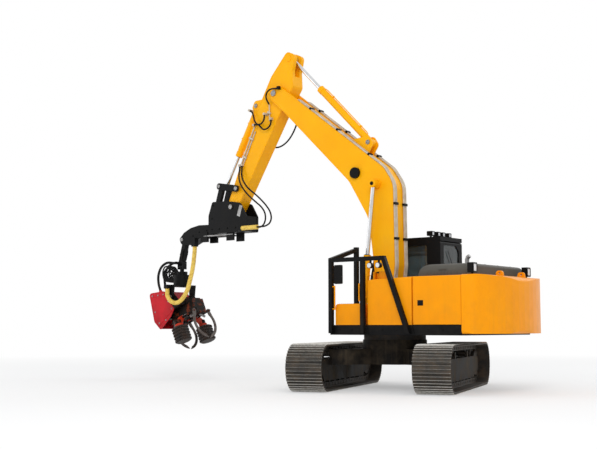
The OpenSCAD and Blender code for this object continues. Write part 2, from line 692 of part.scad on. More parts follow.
module lamp(x, y, z, w, h) {
    block([x - 55, y - w / 2, z], [x + 55, y + w / 2, z + h]);
}
module work_lamps() {
    color(black) {
        // Lamps on the cab's roof guard
        for (y = [-570, -800, -990, -1229]) {
            lamp(-520, y, cab_z + guard_h + lamp_stem, 110, 95);
            block([-535, y - 20, cab_z + 12 + run], [-505, y + 20, cab_z + guard_h + lamp_stem + 1]);
        }
        // Lamps on the counterweight, looking back
        for (y = [1180, -930]) {
            lamp(-2440, y, cw_z + lamp_stem, 160, 180);
            translate([-2440, y, cw_z + run]) cylinder(h = lamp_stem + 1, d = 40);
        }
        // Two round lamps under the guard's rail
        for (x = [-370, -560]) {
            bar_y(x, guard_z1 - tube_w - 95, guard_y0 + 5, guard_y1 - 5, 105);
            block([x - 12, guard_y0 + 20, guard_z1 - tube_w - 60],
                [x + 12, guard_y0 + 60, guard_z1 - tube_w - run]);
        }
    }
}
module mirror() {
    color(black) {
        plate(rounded([[300, 2040, 30], [490, 2040, 30], [490, 2410, 30], [300, 2410, 30]]), half_w + 20,
            half_w + 50);
        for (z = [2120, 2330]) block([489, half_w + 25, z - 12], [post_x[0] - run, half_w + 45, z + 12]);
    }
}

// Boom, in its own axes: X from the foot pin to the tip pin, Z to its back
tip_x = foot_x + boom_l * cos(boom_angle);
tip_z = foot_z + boom_l * sin(boom_angle);
// Outline, columns: distance along, distance out, corner radius
boom_outline = [[-221, 49, 130], [392, 558, 500], [1799, 1419, 500], [2210, 1408, 400],
    [boom_l + 107, 186, 140],
    [boom_l + 32, -181, 140], [boom_l - 530, -6, 250], [2481, 573, 700], [1543, 556, 700],
    [702, 163, 500], [-49, -221, 130]];
// Pins on the boom: the boom cylinders' rods and the arm cylinder's foot
boom_pin = [2004, 1098];
arm_foot = [2941, 1340];
fork_r = 760;
fork_y = arm_w / 2 + pass;
module boom_axes() {
    translate([foot_x, 0, foot_z]) rotate([0, -boom_angle, 0]) children();
}
module boom() {
    color(yellow) boom_axes() {
        difference() {
            union() {
                plate(rounded(boom_outline), -boom_w / 2, boom_w / 2);
                bar_y(0, 0, -boom_w / 2 - 2, boom_w / 2 + 2, 250);
                for (m = [-1, 1]) scale([1, m, 1])
                    bar_y(boom_pin.x, boom_pin.y, boom_w / 2 - 1, ram_y - eye_w / 2 - pass, 200);
                for (m = [-1, 1]) scale([1, m, 1])
                    plate(rounded([[arm_foot.x - 260, arm_foot.y - 260, 0],
                        [arm_foot.x + 340, arm_foot.y - 380, 0],
                        [arm_foot.x + 110, arm_foot.y + 90, 90],
                        [arm_foot.x - 110, arm_foot.y + 90, 90]]), 81, 111);
            }
            bar_y(0, 0, -boom_w, boom_w, pin_d + 2 * run);
            // Hollow between the plates, and the fork that takes the arm
            translate([0, boom_w / 2 - plate_t, 0]) rotate([90, 0,
                0]) linear_extrude(boom_w - 2 * plate_t) difference() {
                offset(delta = -plate_t) polygon(rounded(boom_outline));
                circle(r = 150);
                translate([boom_l, 0]) circle(r = fork_r + plate_t);
            }
            intersection() {
                bar_y(boom_l, 0, -fork_y, fork_y, 2 * fork_r);
                block([boom_l - fork_r - 1, -fork_y, -900], [boom_l + 900, fork_y, 900]);
            }
        }
        bar_y(boom_l, 0, -boom_w / 2 - 20, boom_w / 2 + 20, pin_d);
        bar_y(arm_foot.x, arm_foot.y, -120, 120, ram_pin_d);
    }
}

// Pipes along the boom's back: its outline's first corners, moved out by h
pipe_d = 34;
pipe_y = [-210, -170, -130, 130, 170, 210];
pipe_h = pipe_d / 2 + run;
back = [for (i = [0:4]) [boom_outline[i][0], boom_outline[i][1], boom_outline[i][2]]];
function left_of(v) = [-v.y, v.x];
function at2(p) = [p[0], p[1]];
function moved(i, h) = let (n = left_of(unit(at2(back[i]) - at2(back[i - 1]))),
    m = left_of(unit(at2(back[i + 1]) - at2(back[i]))))
    at2(back[i]) + (n + m) * h / (1 + n * m);
// Place on the back's straight after corner i, at distance s from it, off it by h
function on_back(i, s, h) = let (v = unit(at2(back[i + 1]) - at2(back[i]))) at2(back[i]) + v * s + left_of(v) * h;
function bend(a, b, c, r, n) = let (u = unit(a - b), w = unit(c - b), half = acos(u * w) / 2,
    o = b + unit(u + w) * r / sin(half),
    s = b + u * r / tan(half) - o, a0 = atan2(s.y, s.x), turn_by = 2 * half - 180)
    [for (i = [0:n]) o + r * [cos(a0 + turn_by * i / n), sin(a0 + turn_by * i / n)]];
pipe_start = on_back(0, -170, pipe_h);
pipe_end = on_back(3, 2790, pipe_h);
pipe_line = concat([pipe_start], [for (i = [1:3]) each bend(i == 1 ? pipe_start : moved(i - 1, pipe_h),
    moved(i, pipe_h),
    i == 3 ? pipe_end : moved(i + 1, pipe_h), back[i][2] + pipe_h, 6)], [pipe_end]);
module boom_pipes() {
    color(steel) boom_axes() for (y = pipe_y) tube([for (p = pipe_line) [p.x, y, p.y]], pipe_d, 8);
}
// Clamps, columns: corner of the back before it, distance from that corner
clamps = [[1, 525], [1, 1231], [3, 470], [3, 1476], [3, 2375]];
boom_lamp = [2524, 802];
module boom_fittings() {
    color(black) {
        boom_axes() {
            for (c = clamps) let (p = on_back(c[0], c[1], 0), v = unit(at2(back[c[0] + 1]) - at2(back[c[0]])))
                translate([p.x, 0, p.y]) rotate([0, -atan2(v.y, v.x), 0]) difference() {
                    union() for (m = [-1, 1]) scale([1, m, 1]) block([-25, 100, run],
                        [25, 230, pipe_d + 16]);
                    for (y = pipe_y) translate([-30, y, pipe_h]) rotate([0, 90, 0]) cylinder(h = 60,
                        d = pipe_d + 3);
                }
            for (m = [-1, 1]) scale([1, m, 1]) bar_y(boom_lamp.x, boom_lamp.y, boom_w / 2 + run,
                boom_w / 2 + 60, 230);
        }
        // Clips that the hoses leave from
        block([2800, boom_w / 2 + run, 6430], [2860, 305, 6500]);
        block([2690, -305, 5960], [2750, -boom_w / 2 - run, 6020]);
    }
}

// Cylinders: X from the foot pin along the axis, columns: foot, rod eye, barrel length, piston's place
module ram_barrel(l, d, w) {
    difference() {
        union() {
            translate([60, 0, 0]) rotate([0, 90, 0]) cylinder(h = l - 60, d = d);
            translate([l - 100, 0, 0]) rotate([0, 90, 0]) cylinder(h = 100, d = d + gland_d);
            bar_y(0, 0, -w / 2, w / 2, 170);
        }
        translate([110, 0, 0]) rotate([0, 90, 0]) cylinder(h = l - 210, d = d - 26);
        translate([110, 0, 0]) rotate([0, 90, 0]) cylinder(h = l, d = rod_d + 2 * run);
        bar_y(0, 0, -w, w, ram_pin_d + 2 * run);
    }
}
module ram_rod(l, piston, d, w) {
    translate([piston, 0, 0]) rotate([0, 90, 0]) cylinder(h = l - piston, d = rod_d);
    translate([piston, 0, 0]) rotate([0, 90, 0]) cylinder(h = 70, d = d - 26 - 2 * run);
    bar_y(l, 0, -w / 2, w / 2, 165);
}
function boom_to_row(p) = [foot_x + p.x * cos(boom_angle) - p.y * sin(boom_angle),
    foot_z + p.x * sin(boom_angle) + p.y * cos(boom_angle)];
function arm_to_row(p) = [tip_x + p.x * cos(arm_down) + p.y * sin(arm_down),
    tip_z - p.x * sin(arm_down) + p.y * cos(arm_down)];
module along(a, b) {
    translate([a.x, 0, a.y]) rotate([0, -atan2(b.y - a.y, b.x - a.x), 0]) children();
}
boom_ram_a = [ram_foot_x, ram_foot_z];
boom_ram_b = boom_to_row(boom_pin);
arm_ram_a = boom_to_row(arm_foot);
arm_ram_b = arm_to_row([-832, 8]);
tool_foot = [450, 475];
tool_eye = [2480, 530];
rocker_pin = [2320, 30];
arm_ram_w = 150;
tool_ram_w = 140;
tool_ram_a = arm_to_row(tool_foot);
tool_ram_b = arm_to_row(tool_eye);

module boom_barrels() {
    color(yellow) for (m = [-1, 1]) translate([0, m * ram_y, 0]) along(boom_ram_a,
        boom_ram_b) ram_barrel(1300, boom_barrel_d, eye_w);
}
module boom_rods() {
    color(chrome) for (m = [-1, 1]) translate([0, m * ram_y, 0]) along(boom_ram_a, boom_ram_b)
        ram_rod(norm(boom_ram_b - boom_ram_a), 1100, boom_barrel_d, eye_w);
}
module arm_barrel() {
    color(yellow) along(arm_ram_a, arm_ram_b) ram_barrel(1870, arm_barrel_d, arm_ram_w);
}
module arm_rod() {
    color(chrome) along(arm_ram_a, arm_ram_b) ram_rod(norm(arm_ram_b - arm_ram_a), 1090, arm_barrel_d,
        arm_ram_w - 8);
}
module tool_barrel() {
    color(yellow) along(tool_ram_a, tool_ram_b) ram_barrel(1240, arm_barrel_d, tool_ram_w);
}
module tool_rod() {
    color(chrome) along(tool_ram_a, tool_ram_b) ram_rod(norm(tool_ram_b - tool_ram_a), 650, arm_barrel_d,
        tool_ram_w);
}

// Arm, in its own axes: X from the boom's tip pin to the arm's tip pin, Z to its outer side
arm_outline = [[-960, -130, 110], [-960, 130, 110], [-300, 300, 300], [550, 330, 400], [2350, 170, 300],
    [arm_l + 140, 135, 130],
    [arm_l + 140, -135, 130], [2300, -200, 300], [250, -340, 300], [-320, -400, 120], [-620, -220, 200]];
module arm_axes() {
    translate([tip_x, 0, tip_z]) rotate([0, arm_down, 0]) children();
}
module arm() {
    color(yellow) arm_axes() {
        difference() {
            union() {
                plate(rounded(arm_outline), -arm_w / 2, arm_w / 2);
                for (m = [-1, 1]) scale([1, m, 1])
                    plate(rounded([[tool_foot.x - 260, 250, 0], [tool_foot.x + 300, 250, 0],
                        [tool_foot.x + 85, tool_foot.y + 85, 80],
                        [tool_foot.x - 85, tool_foot.y + 85, 80]]), 76, 106);
            }
            bar_y(0, 0, -arm_w, arm_w, pin_d + 2 * run);
            block([-1100, -81, -500], [-520, 81, 500]);
            translate([0, arm_w / 2 - plate_t, 0]) rotate([90, 0,
                0]) linear_extrude(arm_w - 2 * plate_t) difference() {
                offset(delta = -plate_t) polygon(rounded(arm_outline));
                circle(r = 120);
                translate([-1200, -600]) square([1200 - 520 + plate_t, 1200]);
                translate([arm_l, 0]) circle(r = 120);
                translate([rocker_pin.x, rocker_pin.y]) circle(r = 90);
            }
        }
        bar_y(arm_l, 0, -arm_w / 2 - 60, arm_w / 2 + 60, 80);
        bar_y(rocker_pin.x, rocker_pin.y, -link_y - link_t - 6, link_y + link_t + 6, 70);
        bar_y(tool_foot.x, tool_foot.y, -115, 115, ram_pin_d);
        for (m = [-1, 1]) scale([1, m, 1]) bar_y(-832, 8, arm_w / 2 - 1, arm_w / 2 + 15, 130);
    }
}
// Pipes and clips on the arm's sides
arm_pipe_d = 30;
arm_pipe_y = arm_w / 2 + arm_pipe_d / 2 + run;
// Columns: the ends' distances along and out
arm_pipe_rows = [[880, 215, 1815, 190], [960, 140, 1790, 130], [270, 45, 600, -140]];
// Clips in the machine's axes, columns: x, z, outer face, side
arm_clips = [[4020, 4855, 240, 1], [3950, 4865, 240, 1], [3605, 5735, 240, 1], [3230, 5930, 310, 1],
    [3090, 5815, 250, 1], [3525, 5505, 240, -1]];
clip_w = 50;
module arm_pipes() {
    color(steel) arm_axes() {
        for (r = arm_pipe_rows) strut([r[0], arm_pipe_y, r[1]], [r[2], arm_pipe_y, r[3]], arm_pipe_d);
        strut([arm_pipe_rows[0][0], -arm_pipe_y, arm_pipe_rows[0][1]],
            [arm_pipe_rows[0][2], -arm_pipe_y, arm_pipe_rows[0][3]], arm_pipe_d);
    }
    color(black) {
        for (c = arm_clips) scale([1, c[3], 1])
            block([c[0] - clip_w / 2, arm_w / 2 + run, c[1] - clip_w / 2],
                [c[0] + clip_w / 2, c[2], c[1] + clip_w / 2]);
        arm_axes() {
            // Clamps across the pipes, and the clip beside the tool cylinder's foot
            for (c = [[1150, 110, 240], [1600, 105, 225], [440, -90, 0]])
                block([c[0] - 20, arm_w / 2 + run, c[1]], [c[0] + 20, arm_w / 2 + arm_pipe_d + 10, c[2]]);
            block([570, 106 + run, 480], [620, 245, 530]);
        }
    }
}

// Tool linkage: rocker plates on the arm, push link to the beam
ear2_y0 = arm_w / 2 + pass;
ear2_t = 36;
link_y = ear2_y0 + ear2_t + pass;
link_t = 30;
stub_y = tool_ram_w / 2 + 8;
beam_pin = [4760, 3980];
module guide_links() {
    color(black) arm_axes() for (m = [-1, 1]) scale([1, m, 1]) {
        v = tool_eye - rocker_pin;
        difference() {
            translate([rocker_pin.x, 0, rocker_pin.y]) rotate([0, -atan2(v.y, v.x), 0])
                plate(rounded([[-75, -75, 70], [norm(v) + 75, -75, 70], [norm(v) + 75, 75, 70],
                    [-75, 75, 70]]), link_y, link_y + link_t);
            bar_y(rocker_pin.x, rocker_pin.y, 0, 2 * link_y, 70 + 2 * run);
        }
        bar_y(tool_eye.x, tool_eye.y, stub_y, link_y + link_t + 10, 60);
    }
}
module push_link() {
    a = arm_to_row(tool_eye);
    v = beam_pin - a;
    color(black) along(a, beam_pin) {
        for (m = [-1, 1]) scale([1, m, 1]) difference() {
            plate(rounded([[-65, -65, 60], [norm(v) - 60, -65, 20], [norm(v) - 60, 65, 20],
                [-65, 65, 60]]), stub_y + 6, arm_w / 2);
            bar_y(0, 0, 0, arm_w, 60 + 2 * run);
        }
        translate([norm(v) - 100, 0, 0]) block([0, -arm_w / 2, -65], [45, arm_w / 2, 65]);
        bar_y(norm(v), 0, -arm_w / 2, arm_w / 2, 130);
    }
}

// Beam between the arm and the head
arm_tip = arm_to_row([arm_l, 0]);
beam_z0 = 3350;
beam_top = 3700;
nose_y = 150;
fork2_y = 70;
module beam() {
    color(black) {
        difference() {
            plates(rounded([[3820, beam_z0, 30], [3820, 3700, 60], [4010, 4010, 120], [4400, 4070, 60],
                [4870, 4085, 70],
                [4985, 3770, 100], [4985, beam_z0, 20]]), ear2_y0, ear2_y0 + ear2_t);
            bar_y(arm_tip.x, arm_tip.y, -400, 400, 80 + 2 * run);
        }
        plate([[3830, beam_z0], [4980, beam_z0], [4980, 3640], [4940, beam_top], [3830, beam_top]],
            -ear2_y0 - 1, ear2_y0 + 1);
        // Nose that carries the hanging link between its fork's cheeks
        difference() {
            plate(rounded([[4940, beam_z0, 0], [5120, 3335, 80], [5420, 3235, 100],
                [hang_x - 220, 3130, 60], [hang_x + 30, 3160, 70],
                [hang_x + 90, hang_z + 20, 60], [hang_x - 60, 3430, 90], [5620, 3530, 120],
                [5350, 3580, 150], [4940, 3570, 0]]), -nose_y, nose_y);
            block([hang_x - 280, -fork2_y, 3000], [hang_x + 200, fork2_y, 3900]);
        }
        bar_y(hang_x, hang_z, -nose_y - 10, nose_y + 10, 60);
        // Lugs and guard bars under the beam
        for (m = [-1, 1]) scale([1, m, 1]) {
            for (x = [4220, 5040]) block([x, nose_y - 1, 3170],
                [x + 220, nose_y + 40, x < 5000 ? beam_z0 + 1 : 3230]);
            block([5040, nose_y - 20, 3170], [5260, nose_y + 40, 3400]);
            strut([4250, nose_y + 20, 3310], [5150, nose_y + 20, 3310], 40);
        }
        // Clips that the hoses leave from
        block([5385, nose_y - 20, 3080 + run], [5495, 250, 3280]);
        block([3860 + run, ear2_y0 + ear2_t - 1, 3355], [3960, 355, 3475]);
    }
}

// Hanging link, its cross and the rotator
fork_x = 77;
link_w = 62;
module hanging_link() {
    color(black) difference() {
        union() {
            bar_y(hang_x, hang_z, -link_w, link_w, 130);
            plate([[hang_x - 55, hang_z - 20], [hang_x + 58, hang_z], [rotator_x + 60, cross_z + 110],
                [rotator_x - 62, cross_z + 110]], -link_w, link_w);
            for (m = [-1, 1]) block([rotator_x + m * fork_x - 15, -link_w, cross_z - 65],
                [rotator_x + m * fork_x + 15, link_w, cross_z + 120]);
            block([rotator_x - fork_x - 15, -link_w, cross_z + 90],
                [rotator_x + fork_x + 15, link_w, cross_z + 120]);
            // Clips that the rotator's hoses leave from
            block([rotator_x + fork_x - 20, -140, cross_z + 60],
                [rotator_x + fork_x + 23, 140, cross_z + 120]);
        }
        bar_y(hang_x, hang_z, -200, 200, 60 + 2 * run);
    }
    color(black) translate([rotator_x - fork_x - 18, 0, cross_z]) rotate([0, 90,
        0]) cylinder(h = 2 * fork_x + 36, d = 60);
}
swivel_z = 2440;
module swivel_cross() {
    color(grey) {
        difference() {
            union() {
                translate([rotator_x - 56, 0, cross_z]) rotate([0, 90, 0]) cylinder(h = 112, d = 120);
                translate([rotator_x, 0, swivel_z]) cylinder(h = cross_z - swivel_z - 20, d = 100);
            }
            translate([rotator_x - 100, 0, cross_z]) rotate([0, 90, 0]) cylinder(h = 200, d = 60 + 2 * run);
        }
        translate([rotator_x, 0, swivel_z]) cylinder(h = 80, d = 260);
    }
}
hanger_z = 2200;
hanger_y = 330;
hanger_t = 40;
tilt_d = 60;
module rotator_hanger() {
    color(black) {
        translate([rotator_x, 0, hanger_z]) cylinder(h = swivel_z - hanger_z - run, d = 400);
        block([rotator_x - 100, -hanger_y - hanger_t, hanger_z - 50],
            [rotator_x + 100, hanger_y + hanger_t, hanger_z + 1]);
        for (m = [-1, 1]) scale([1, m, 1]) plate(rounded([[rotator_x - 100, hanger_z, 0],
            [rotator_x + 100, hanger_z, 0],
            [rotator_x + 70, tilt_z - 70, 60], [rotator_x - 70, tilt_z - 70, 60]]), hanger_y,
            hanger_y + hanger_t);
        for (m = [-1, 1]) scale([1, m, 1]) bar_y(rotator_x, tilt_z, hanger_y - 40,
            hanger_y + hanger_t + 10, tilt_d);
        // Clip that the yellow sleeve ends in
        block([rotator_x - 6, hanger_y + hanger_t - 1, 2109 + run], [rotator_x + 114, 485, hanger_z]);
    }
}

// Head, in its own axes: X along the stem, Z up from the stem, origin in the tilt pin's middle
module head_axes() {
    translate([rotator_x, 0, tilt_z]) rotate([0, head_tilt, 0]) children();
}
frame_x0 = -450;
frame_x1 = frame_x0 + head_l;
frame_low = -520;
frame_high = -250;
head_y = 180;
stem_z = -870;
arm_pivot = [250, -560];
shaft_d = 50;
// Plate in the head's Y-Z plane with an eye at p
module swung(points, p, d, x, t) {
    translate([x, 0, 0]) rotate([90, 0, 90]) linear_extrude(t) polygon(points);
    translate([x, p.x, p.y]) rotate([0, 90, 0]) cylinder(h = t, d = d);
}
module bar_x(p, x0, x1, d) {
    translate([x0, p.x, p.y]) rotate([0, 90, 0]) cylinder(h = x1 - x0, d = d);
}
saw_pivot = [250, -360];
saw_x = 400;
module head_frame() {
    color(black) head_axes() {
        block([frame_x0, -head_y, frame_low], [frame_x1, head_y, frame_high]);
        // Guide plate over the stem, and the plate on the frame's end
        plate(rounded([[frame_x0 - 20, -600, 20], [frame_x0 - 20, -480, 20], [-120, -490, 0],
            [-120, -560, 20]]), -head_y + 30, head_y - 30);
        block([frame_x0 + 20, -120, frame_high - 1], [frame_x0 + 170, 120, frame_high + 30]);
        // Cheeks that the tilt pins carry
        for (m = [-1, 1]) scale([1, m, 1]) difference() {
            plate(rounded([[-210, frame_high - 40, 0], [45, frame_high - 40, 0], [70, -60, 80],
                [70, 70, 65], [-70, 70, 65], [-150, -140, 120]]),
                hanger_y - 36, hanger_y - pass);
            bar_y(0, 0, 0, 600, tilt_d + 2 * run);
        }
        block([-210, -hanger_y + pass, frame_high - 40], [45, hanger_y - pass, frame_high]);
        // Shafts that the feed arms and the knives turn on
        for (m = [-1, 1]) scale([1, m, 1]) {
            bar_x(arm_pivot, frame_x0 - 40, frame_x1 - 40, shaft_d);
            for (x = [frame_x0 + 80, -170, 30, 255])
                block([x, head_y - 60, arm_pivot.y - 10], [x + 40, arm_pivot.x, frame_low + 1]);
        }
        // Holder of the cover and of the saw
        block([130, -440 + 12 + run, -380], [170, 320 - 12 - run, -330]);
        block([300, 100, -420], [saw_x - 20, 300, -300]);
        bar_x(saw_pivot, saw_x - 21, saw_x + 30, 60);
    }
}
// Cover's outline in the head's X-Z plane, columns: x, z, corner radius
cover_side = [[671, 386, 60], [203, 233, 60], [54, -293, 40], [214, -408, 60], [646, -566, 60],
    [770, -303, 70]];
cover_y = [-440, 320];
cover_t = 12;
module head_cover() {
    color(red) head_axes() difference() {
        plate(rounded(cover_side), cover_y[0], cover_y[1]);
        plate(rounded([[660, 368, 50], [213, 220, 50], [66, -293, 30], [214, -395, 60], [640, -551, 50],
            [757, -303, 60]]),
            cover_y[0] + cover_t, cover_y[1] - cover_t);
        block([0, cover_y[0] + cover_t, -700], [630, cover_y[1] - cover_t, -225]);
    }
    // Glands that the rotator's hoses enter
    color(black) for (m = [-1, 1]) strut([6660, m * 105, 2080 - run], [6633, m * 105, 2010 - run], 80);
}
roller_y = 400;
roller_x = -25;
roller_z0 = -1150;
module feed_arm(m) {
    top = roller_z0 + roller_h + run;
    color(red) head_axes() scale([1, m, 1]) difference() {
        union() {
            swung([[arm_pivot.x - 20, -600], [arm_pivot.x + 10, -515], [arm_pivot.x + 40, -520],
                [roller_y + 40, -650], [roller_y + 40, top + 30],
                [roller_y - 40, top + 30]], arm_pivot, 100, roller_x - 50, 100);
            translate([roller_x, roller_y, top]) cylinder(h = 70, d = 190);
        }
        bar_x(arm_pivot, roller_x - 60, roller_x + 60, shaft_d + 2 * run);
    }
}
// Feed roller: a drum with rings of teeth
ring_n = 5;
tooth_n = 20;
module feed_roller(m) {
    step = roller_h / ring_n;
    color(grey) head_axes() translate([roller_x, m * roller_y, roller_z0]) {
        cylinder(h = roller_h, r = roller_d / 2 - 34);
        for (i = [0:ring_n - 1]) translate([0, 0, step * (i + 0.25)]) linear_extrude(step / 2)
            polygon([for (k = [0:2 * tooth_n - 1]) let (a = (k + i % 2) * 180 / tooth_n)
                (k % 2 == 0 ? roller_d / 2 : roller_d / 2 - 30) * [cos(a), sin(a)]]);
    }
}
// Delimbing knives: bands curved round the stem, the near and the far one beside each other
knife_t = 28;
knife_x = [frame_x0 - 36, 184];
module knives(m) {
    near = arc([0, stem_z], 372, 28, -84, 10);
    inner = arc([0, stem_z], 312, -70, 42, 10);
    color(steel) head_axes() scale([1, m, 1]) for (x = knife_x) difference() {
        swung(concat([arm_pivot + [30, 38]], near, inner, [arm_pivot + [-48, -12]]), arm_pivot, 100,
            m > 0 ? x : x + knife_t + pass, knife_t);
        bar_x(arm_pivot, x - 10, x + 100, shaft_d + 2 * run);
    }
}
saw_l = 665;
module saw_bar() {
    color(steel) head_axes() difference() {
        swung(rounded([[saw_pivot.x + 20, saw_pivot.y - 50, 20], [saw_pivot.x + 20, saw_pivot.y + 50, 20],
            [saw_pivot.x - saw_l, saw_pivot.y + 40, 38], [saw_pivot.x - saw_l, saw_pivot.y - 40, 38]]),
            saw_pivot, 96, saw_x, 10);
        bar_x(saw_pivot, saw_x - 10, saw_x + 20, 60 + 2 * run);
    }
}

// Hoses that hang free, each with its diameter and the points of its route
hose_d = 36;
boom_hose = [[2860.3, 268, 6465], [2930, 268, 6465], [3020, 276, 6470], [3100, 284, 6448],
    [3160, 284, 6395], [3192, 272, 6325],
    [3190, 248, 6250], [3168, 220, 6185], [3166.04, 200.37, 6156.53]];
boom_hose_far = [[2720, -268, 5959.7], [2720, -268, 5880], [2740, -270, 5760], [2800, -272, 5630],
    [2885, -272, 5500], [2990, -268, 5385],
    [3115, -260, 5300], [3255, -248, 5255], [3390, -232, 5268], [3485, -214, 5335], [3525, -206, 5415],
    [3525, -206, 5479.7]];
tool_hose = [[3702.6, 225, 6070.5], [3665, 225, 6050.8], [3613, 238, 5995], [3572, 255, 5915],
    [3535, 268, 5830], [3482, 278, 5754],
    [3432, 284, 5722], [3374, 288, 5710], [3302, 290, 5729], [3249, 288, 5782],
    [3230, 285, 5854], [3230, 285, 5904.7]];
arm_hose = [[3579.7, 215, 5735], [3510, 215, 5735], [3440, 222, 5712], [3365, 240, 5650],
    [3300, 250, 5602], [3234, 254, 5588], [3162, 250, 5607],
    [3109, 238, 5660], [3090, 222, 5732], [3090, 222, 5789.7]];
beam_hose_a = [[4020, 215, 4829.7], [4020, 215, 4760], [4022, 235, 4640], [3980, 262, 4495],
    [3890, 278, 4350], [3760, 285, 4210],
    [3610, 285, 4080], [3450, 282, 3960], [3310, 278, 3850], [3215, 276, 3720], [3195, 275, 3580],
    [3245, 275, 3463], [3335, 275, 3412],
    [3399.7, 275, 3412]];
beam_hose_b = [[3950, 215, 4839.7], [3950, 215, 4770], [3930, 245, 4640], [3860, 280, 4500],
    [3730, 305, 4350], [3580, 318, 4230],
    [3420, 325, 4120], [3270, 328, 4000], [3130, 330, 3870], [3020, 330, 3730], [2980, 330, 3590],
    [3030, 328, 3475], [3160, 326, 3417],
    [3300, 325, 3412], [3399.7, 325, 3412]];
head_hose = [[5440, 190, 3080], [5440, 190, 2985], [5415, 235, 2820], [5372, 305, 2640],
    [5330, 392, 2450], [5340, 436, 2280],
    [5400, 445, 2090], [5490, 460, 1930], [5620, 465, 1810], [5770, 463, 1768], [5910, 455, 1795],
    [6015, 445, 1865], [6078, 434, 1950],
    [6094, 425, 2030], [6094, 425, 2109]];
rotator_hose = [[6140.3, 105, 2730], [6230, 105, 2730], [6450, 105, 2740], [6640, 105, 2640],
    [6735, 105, 2450], [6725, 105, 2250], [6660, 105, 2080]];
module joint_hoses() {
    color(black) for (r = [boom_hose, boom_hose_far]) tube(r, hose_d, 8);
}
module arm_hoses() {
    color(black) for (r = [tool_hose, arm_hose]) tube(r, hose_d, 8);
}
module beam_hoses() {
    color(black) for (r = [beam_hose_a, beam_hose_b]) tube(r, hose_d, 8);
}
// Stiff sleeve on the beam that they run into
module beam_sleeve() {
    color(yellow) strut([3400, 300, 3412], [3860 + run, 300, 3412], 100);
}
module head_sleeve() {
    color(yellow) tube(head_hose, 100, 10);
}
module rotator_hoses() {
    color(black) for (m = [-1, 1]) tube([for (p = rotator_hose) [p.x, m * p.y, p.z]], 60, 8);
}

car_body();
track_frames();
final_drives();
idlers();
rollers();
slew_ring();
track(1);  // track_left
track(-1);  // track_right
platform();
counterweight();
tank_block();
step_box();
bay_frame();
side_door(1);  // left_door
side_door(-1);  // right_door
engine_hood();
engine_block();
cab_shell();
cab_door();
door_glass();
cab_glass();
cab_seat();
cab_guard();
front_guard();
handrails();
work_lamps();
mirror();
boom();
boom_pipes();
boom_fittings();
boom_barrels();
boom_rods();
arm();
arm_pipes();
arm_barrel();
arm_rod();
tool_barrel();
tool_rod();
guide_links();
push_link();
beam();
hanging_link();
swivel_cross();
rotator_hanger();
head_frame();
head_cover();
feed_arm(1);  // feed_arms_near
feed_arm(-1);  // feed_arms_far
feed_roller(1);  // feed_roller_near
feed_roller(-1);  // feed_roller_far
knives(1);  // knives_near
knives(-1);  // knives_far
saw_bar();
joint_hoses();
arm_hoses();
beam_hoses();
beam_sleeve();
head_sleeve();
rotator_hoses();
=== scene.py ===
import bpy
import bmesh
import math
from mathutils import Matrix, Vector
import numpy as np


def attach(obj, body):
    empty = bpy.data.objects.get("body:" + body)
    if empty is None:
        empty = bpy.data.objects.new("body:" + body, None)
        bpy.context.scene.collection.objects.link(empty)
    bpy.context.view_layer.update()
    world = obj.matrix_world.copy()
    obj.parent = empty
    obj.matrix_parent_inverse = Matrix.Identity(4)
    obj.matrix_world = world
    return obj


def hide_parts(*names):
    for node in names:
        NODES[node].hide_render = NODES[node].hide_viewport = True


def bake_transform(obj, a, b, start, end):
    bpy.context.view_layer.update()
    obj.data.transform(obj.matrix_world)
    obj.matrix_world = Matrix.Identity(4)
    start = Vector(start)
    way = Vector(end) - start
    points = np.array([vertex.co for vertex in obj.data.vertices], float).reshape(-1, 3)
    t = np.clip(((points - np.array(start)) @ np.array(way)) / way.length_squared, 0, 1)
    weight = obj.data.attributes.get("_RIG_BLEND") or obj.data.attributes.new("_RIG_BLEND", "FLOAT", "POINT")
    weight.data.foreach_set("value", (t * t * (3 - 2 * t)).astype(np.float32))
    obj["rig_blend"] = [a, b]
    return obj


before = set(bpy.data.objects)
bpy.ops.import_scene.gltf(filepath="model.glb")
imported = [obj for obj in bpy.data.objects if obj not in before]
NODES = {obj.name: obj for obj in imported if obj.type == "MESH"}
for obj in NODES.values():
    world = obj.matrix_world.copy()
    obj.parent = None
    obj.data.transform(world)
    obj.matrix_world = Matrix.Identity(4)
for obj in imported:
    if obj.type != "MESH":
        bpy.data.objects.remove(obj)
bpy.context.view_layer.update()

# Camera at the photograph's angle, in metres; its focal length and the photograph's width are in pixels
CAMERA_AT = Vector((-11.622, 17.579, 1.215))
CAMERA_YAW = math.radians(-51.261)
CAMERA_PITCH = math.radians(5.62)
FOCAL_PIXELS = 1039.257
FRAME_PIXELS = 597
SENSOR_WIDTH = 36
FAR_CLIP = 200

# Floor's half side, its share of plain white under the machine, and how far out it turns all white
FLOOR_HALF = 60
FLOOR_WHITE = 0.35
FLOOR_FADE = (7.0, 26.0)

# Light from all round
SKY_COLOUR = (0.97, 0.985, 1, 1)
SKY_STRENGTH = 0.72

# Place, aim, size and power of the area lights
LIGHTS = {
    "key": ((-9, 14, 13), (2, 0, 2.5), 8, 1130),
    "fill": ((16, 10, 7), (3, 0, 2.5), 9, 300),
    "rim": ((-4, -14, 11), (1, 0, 2), 8, 300),
}

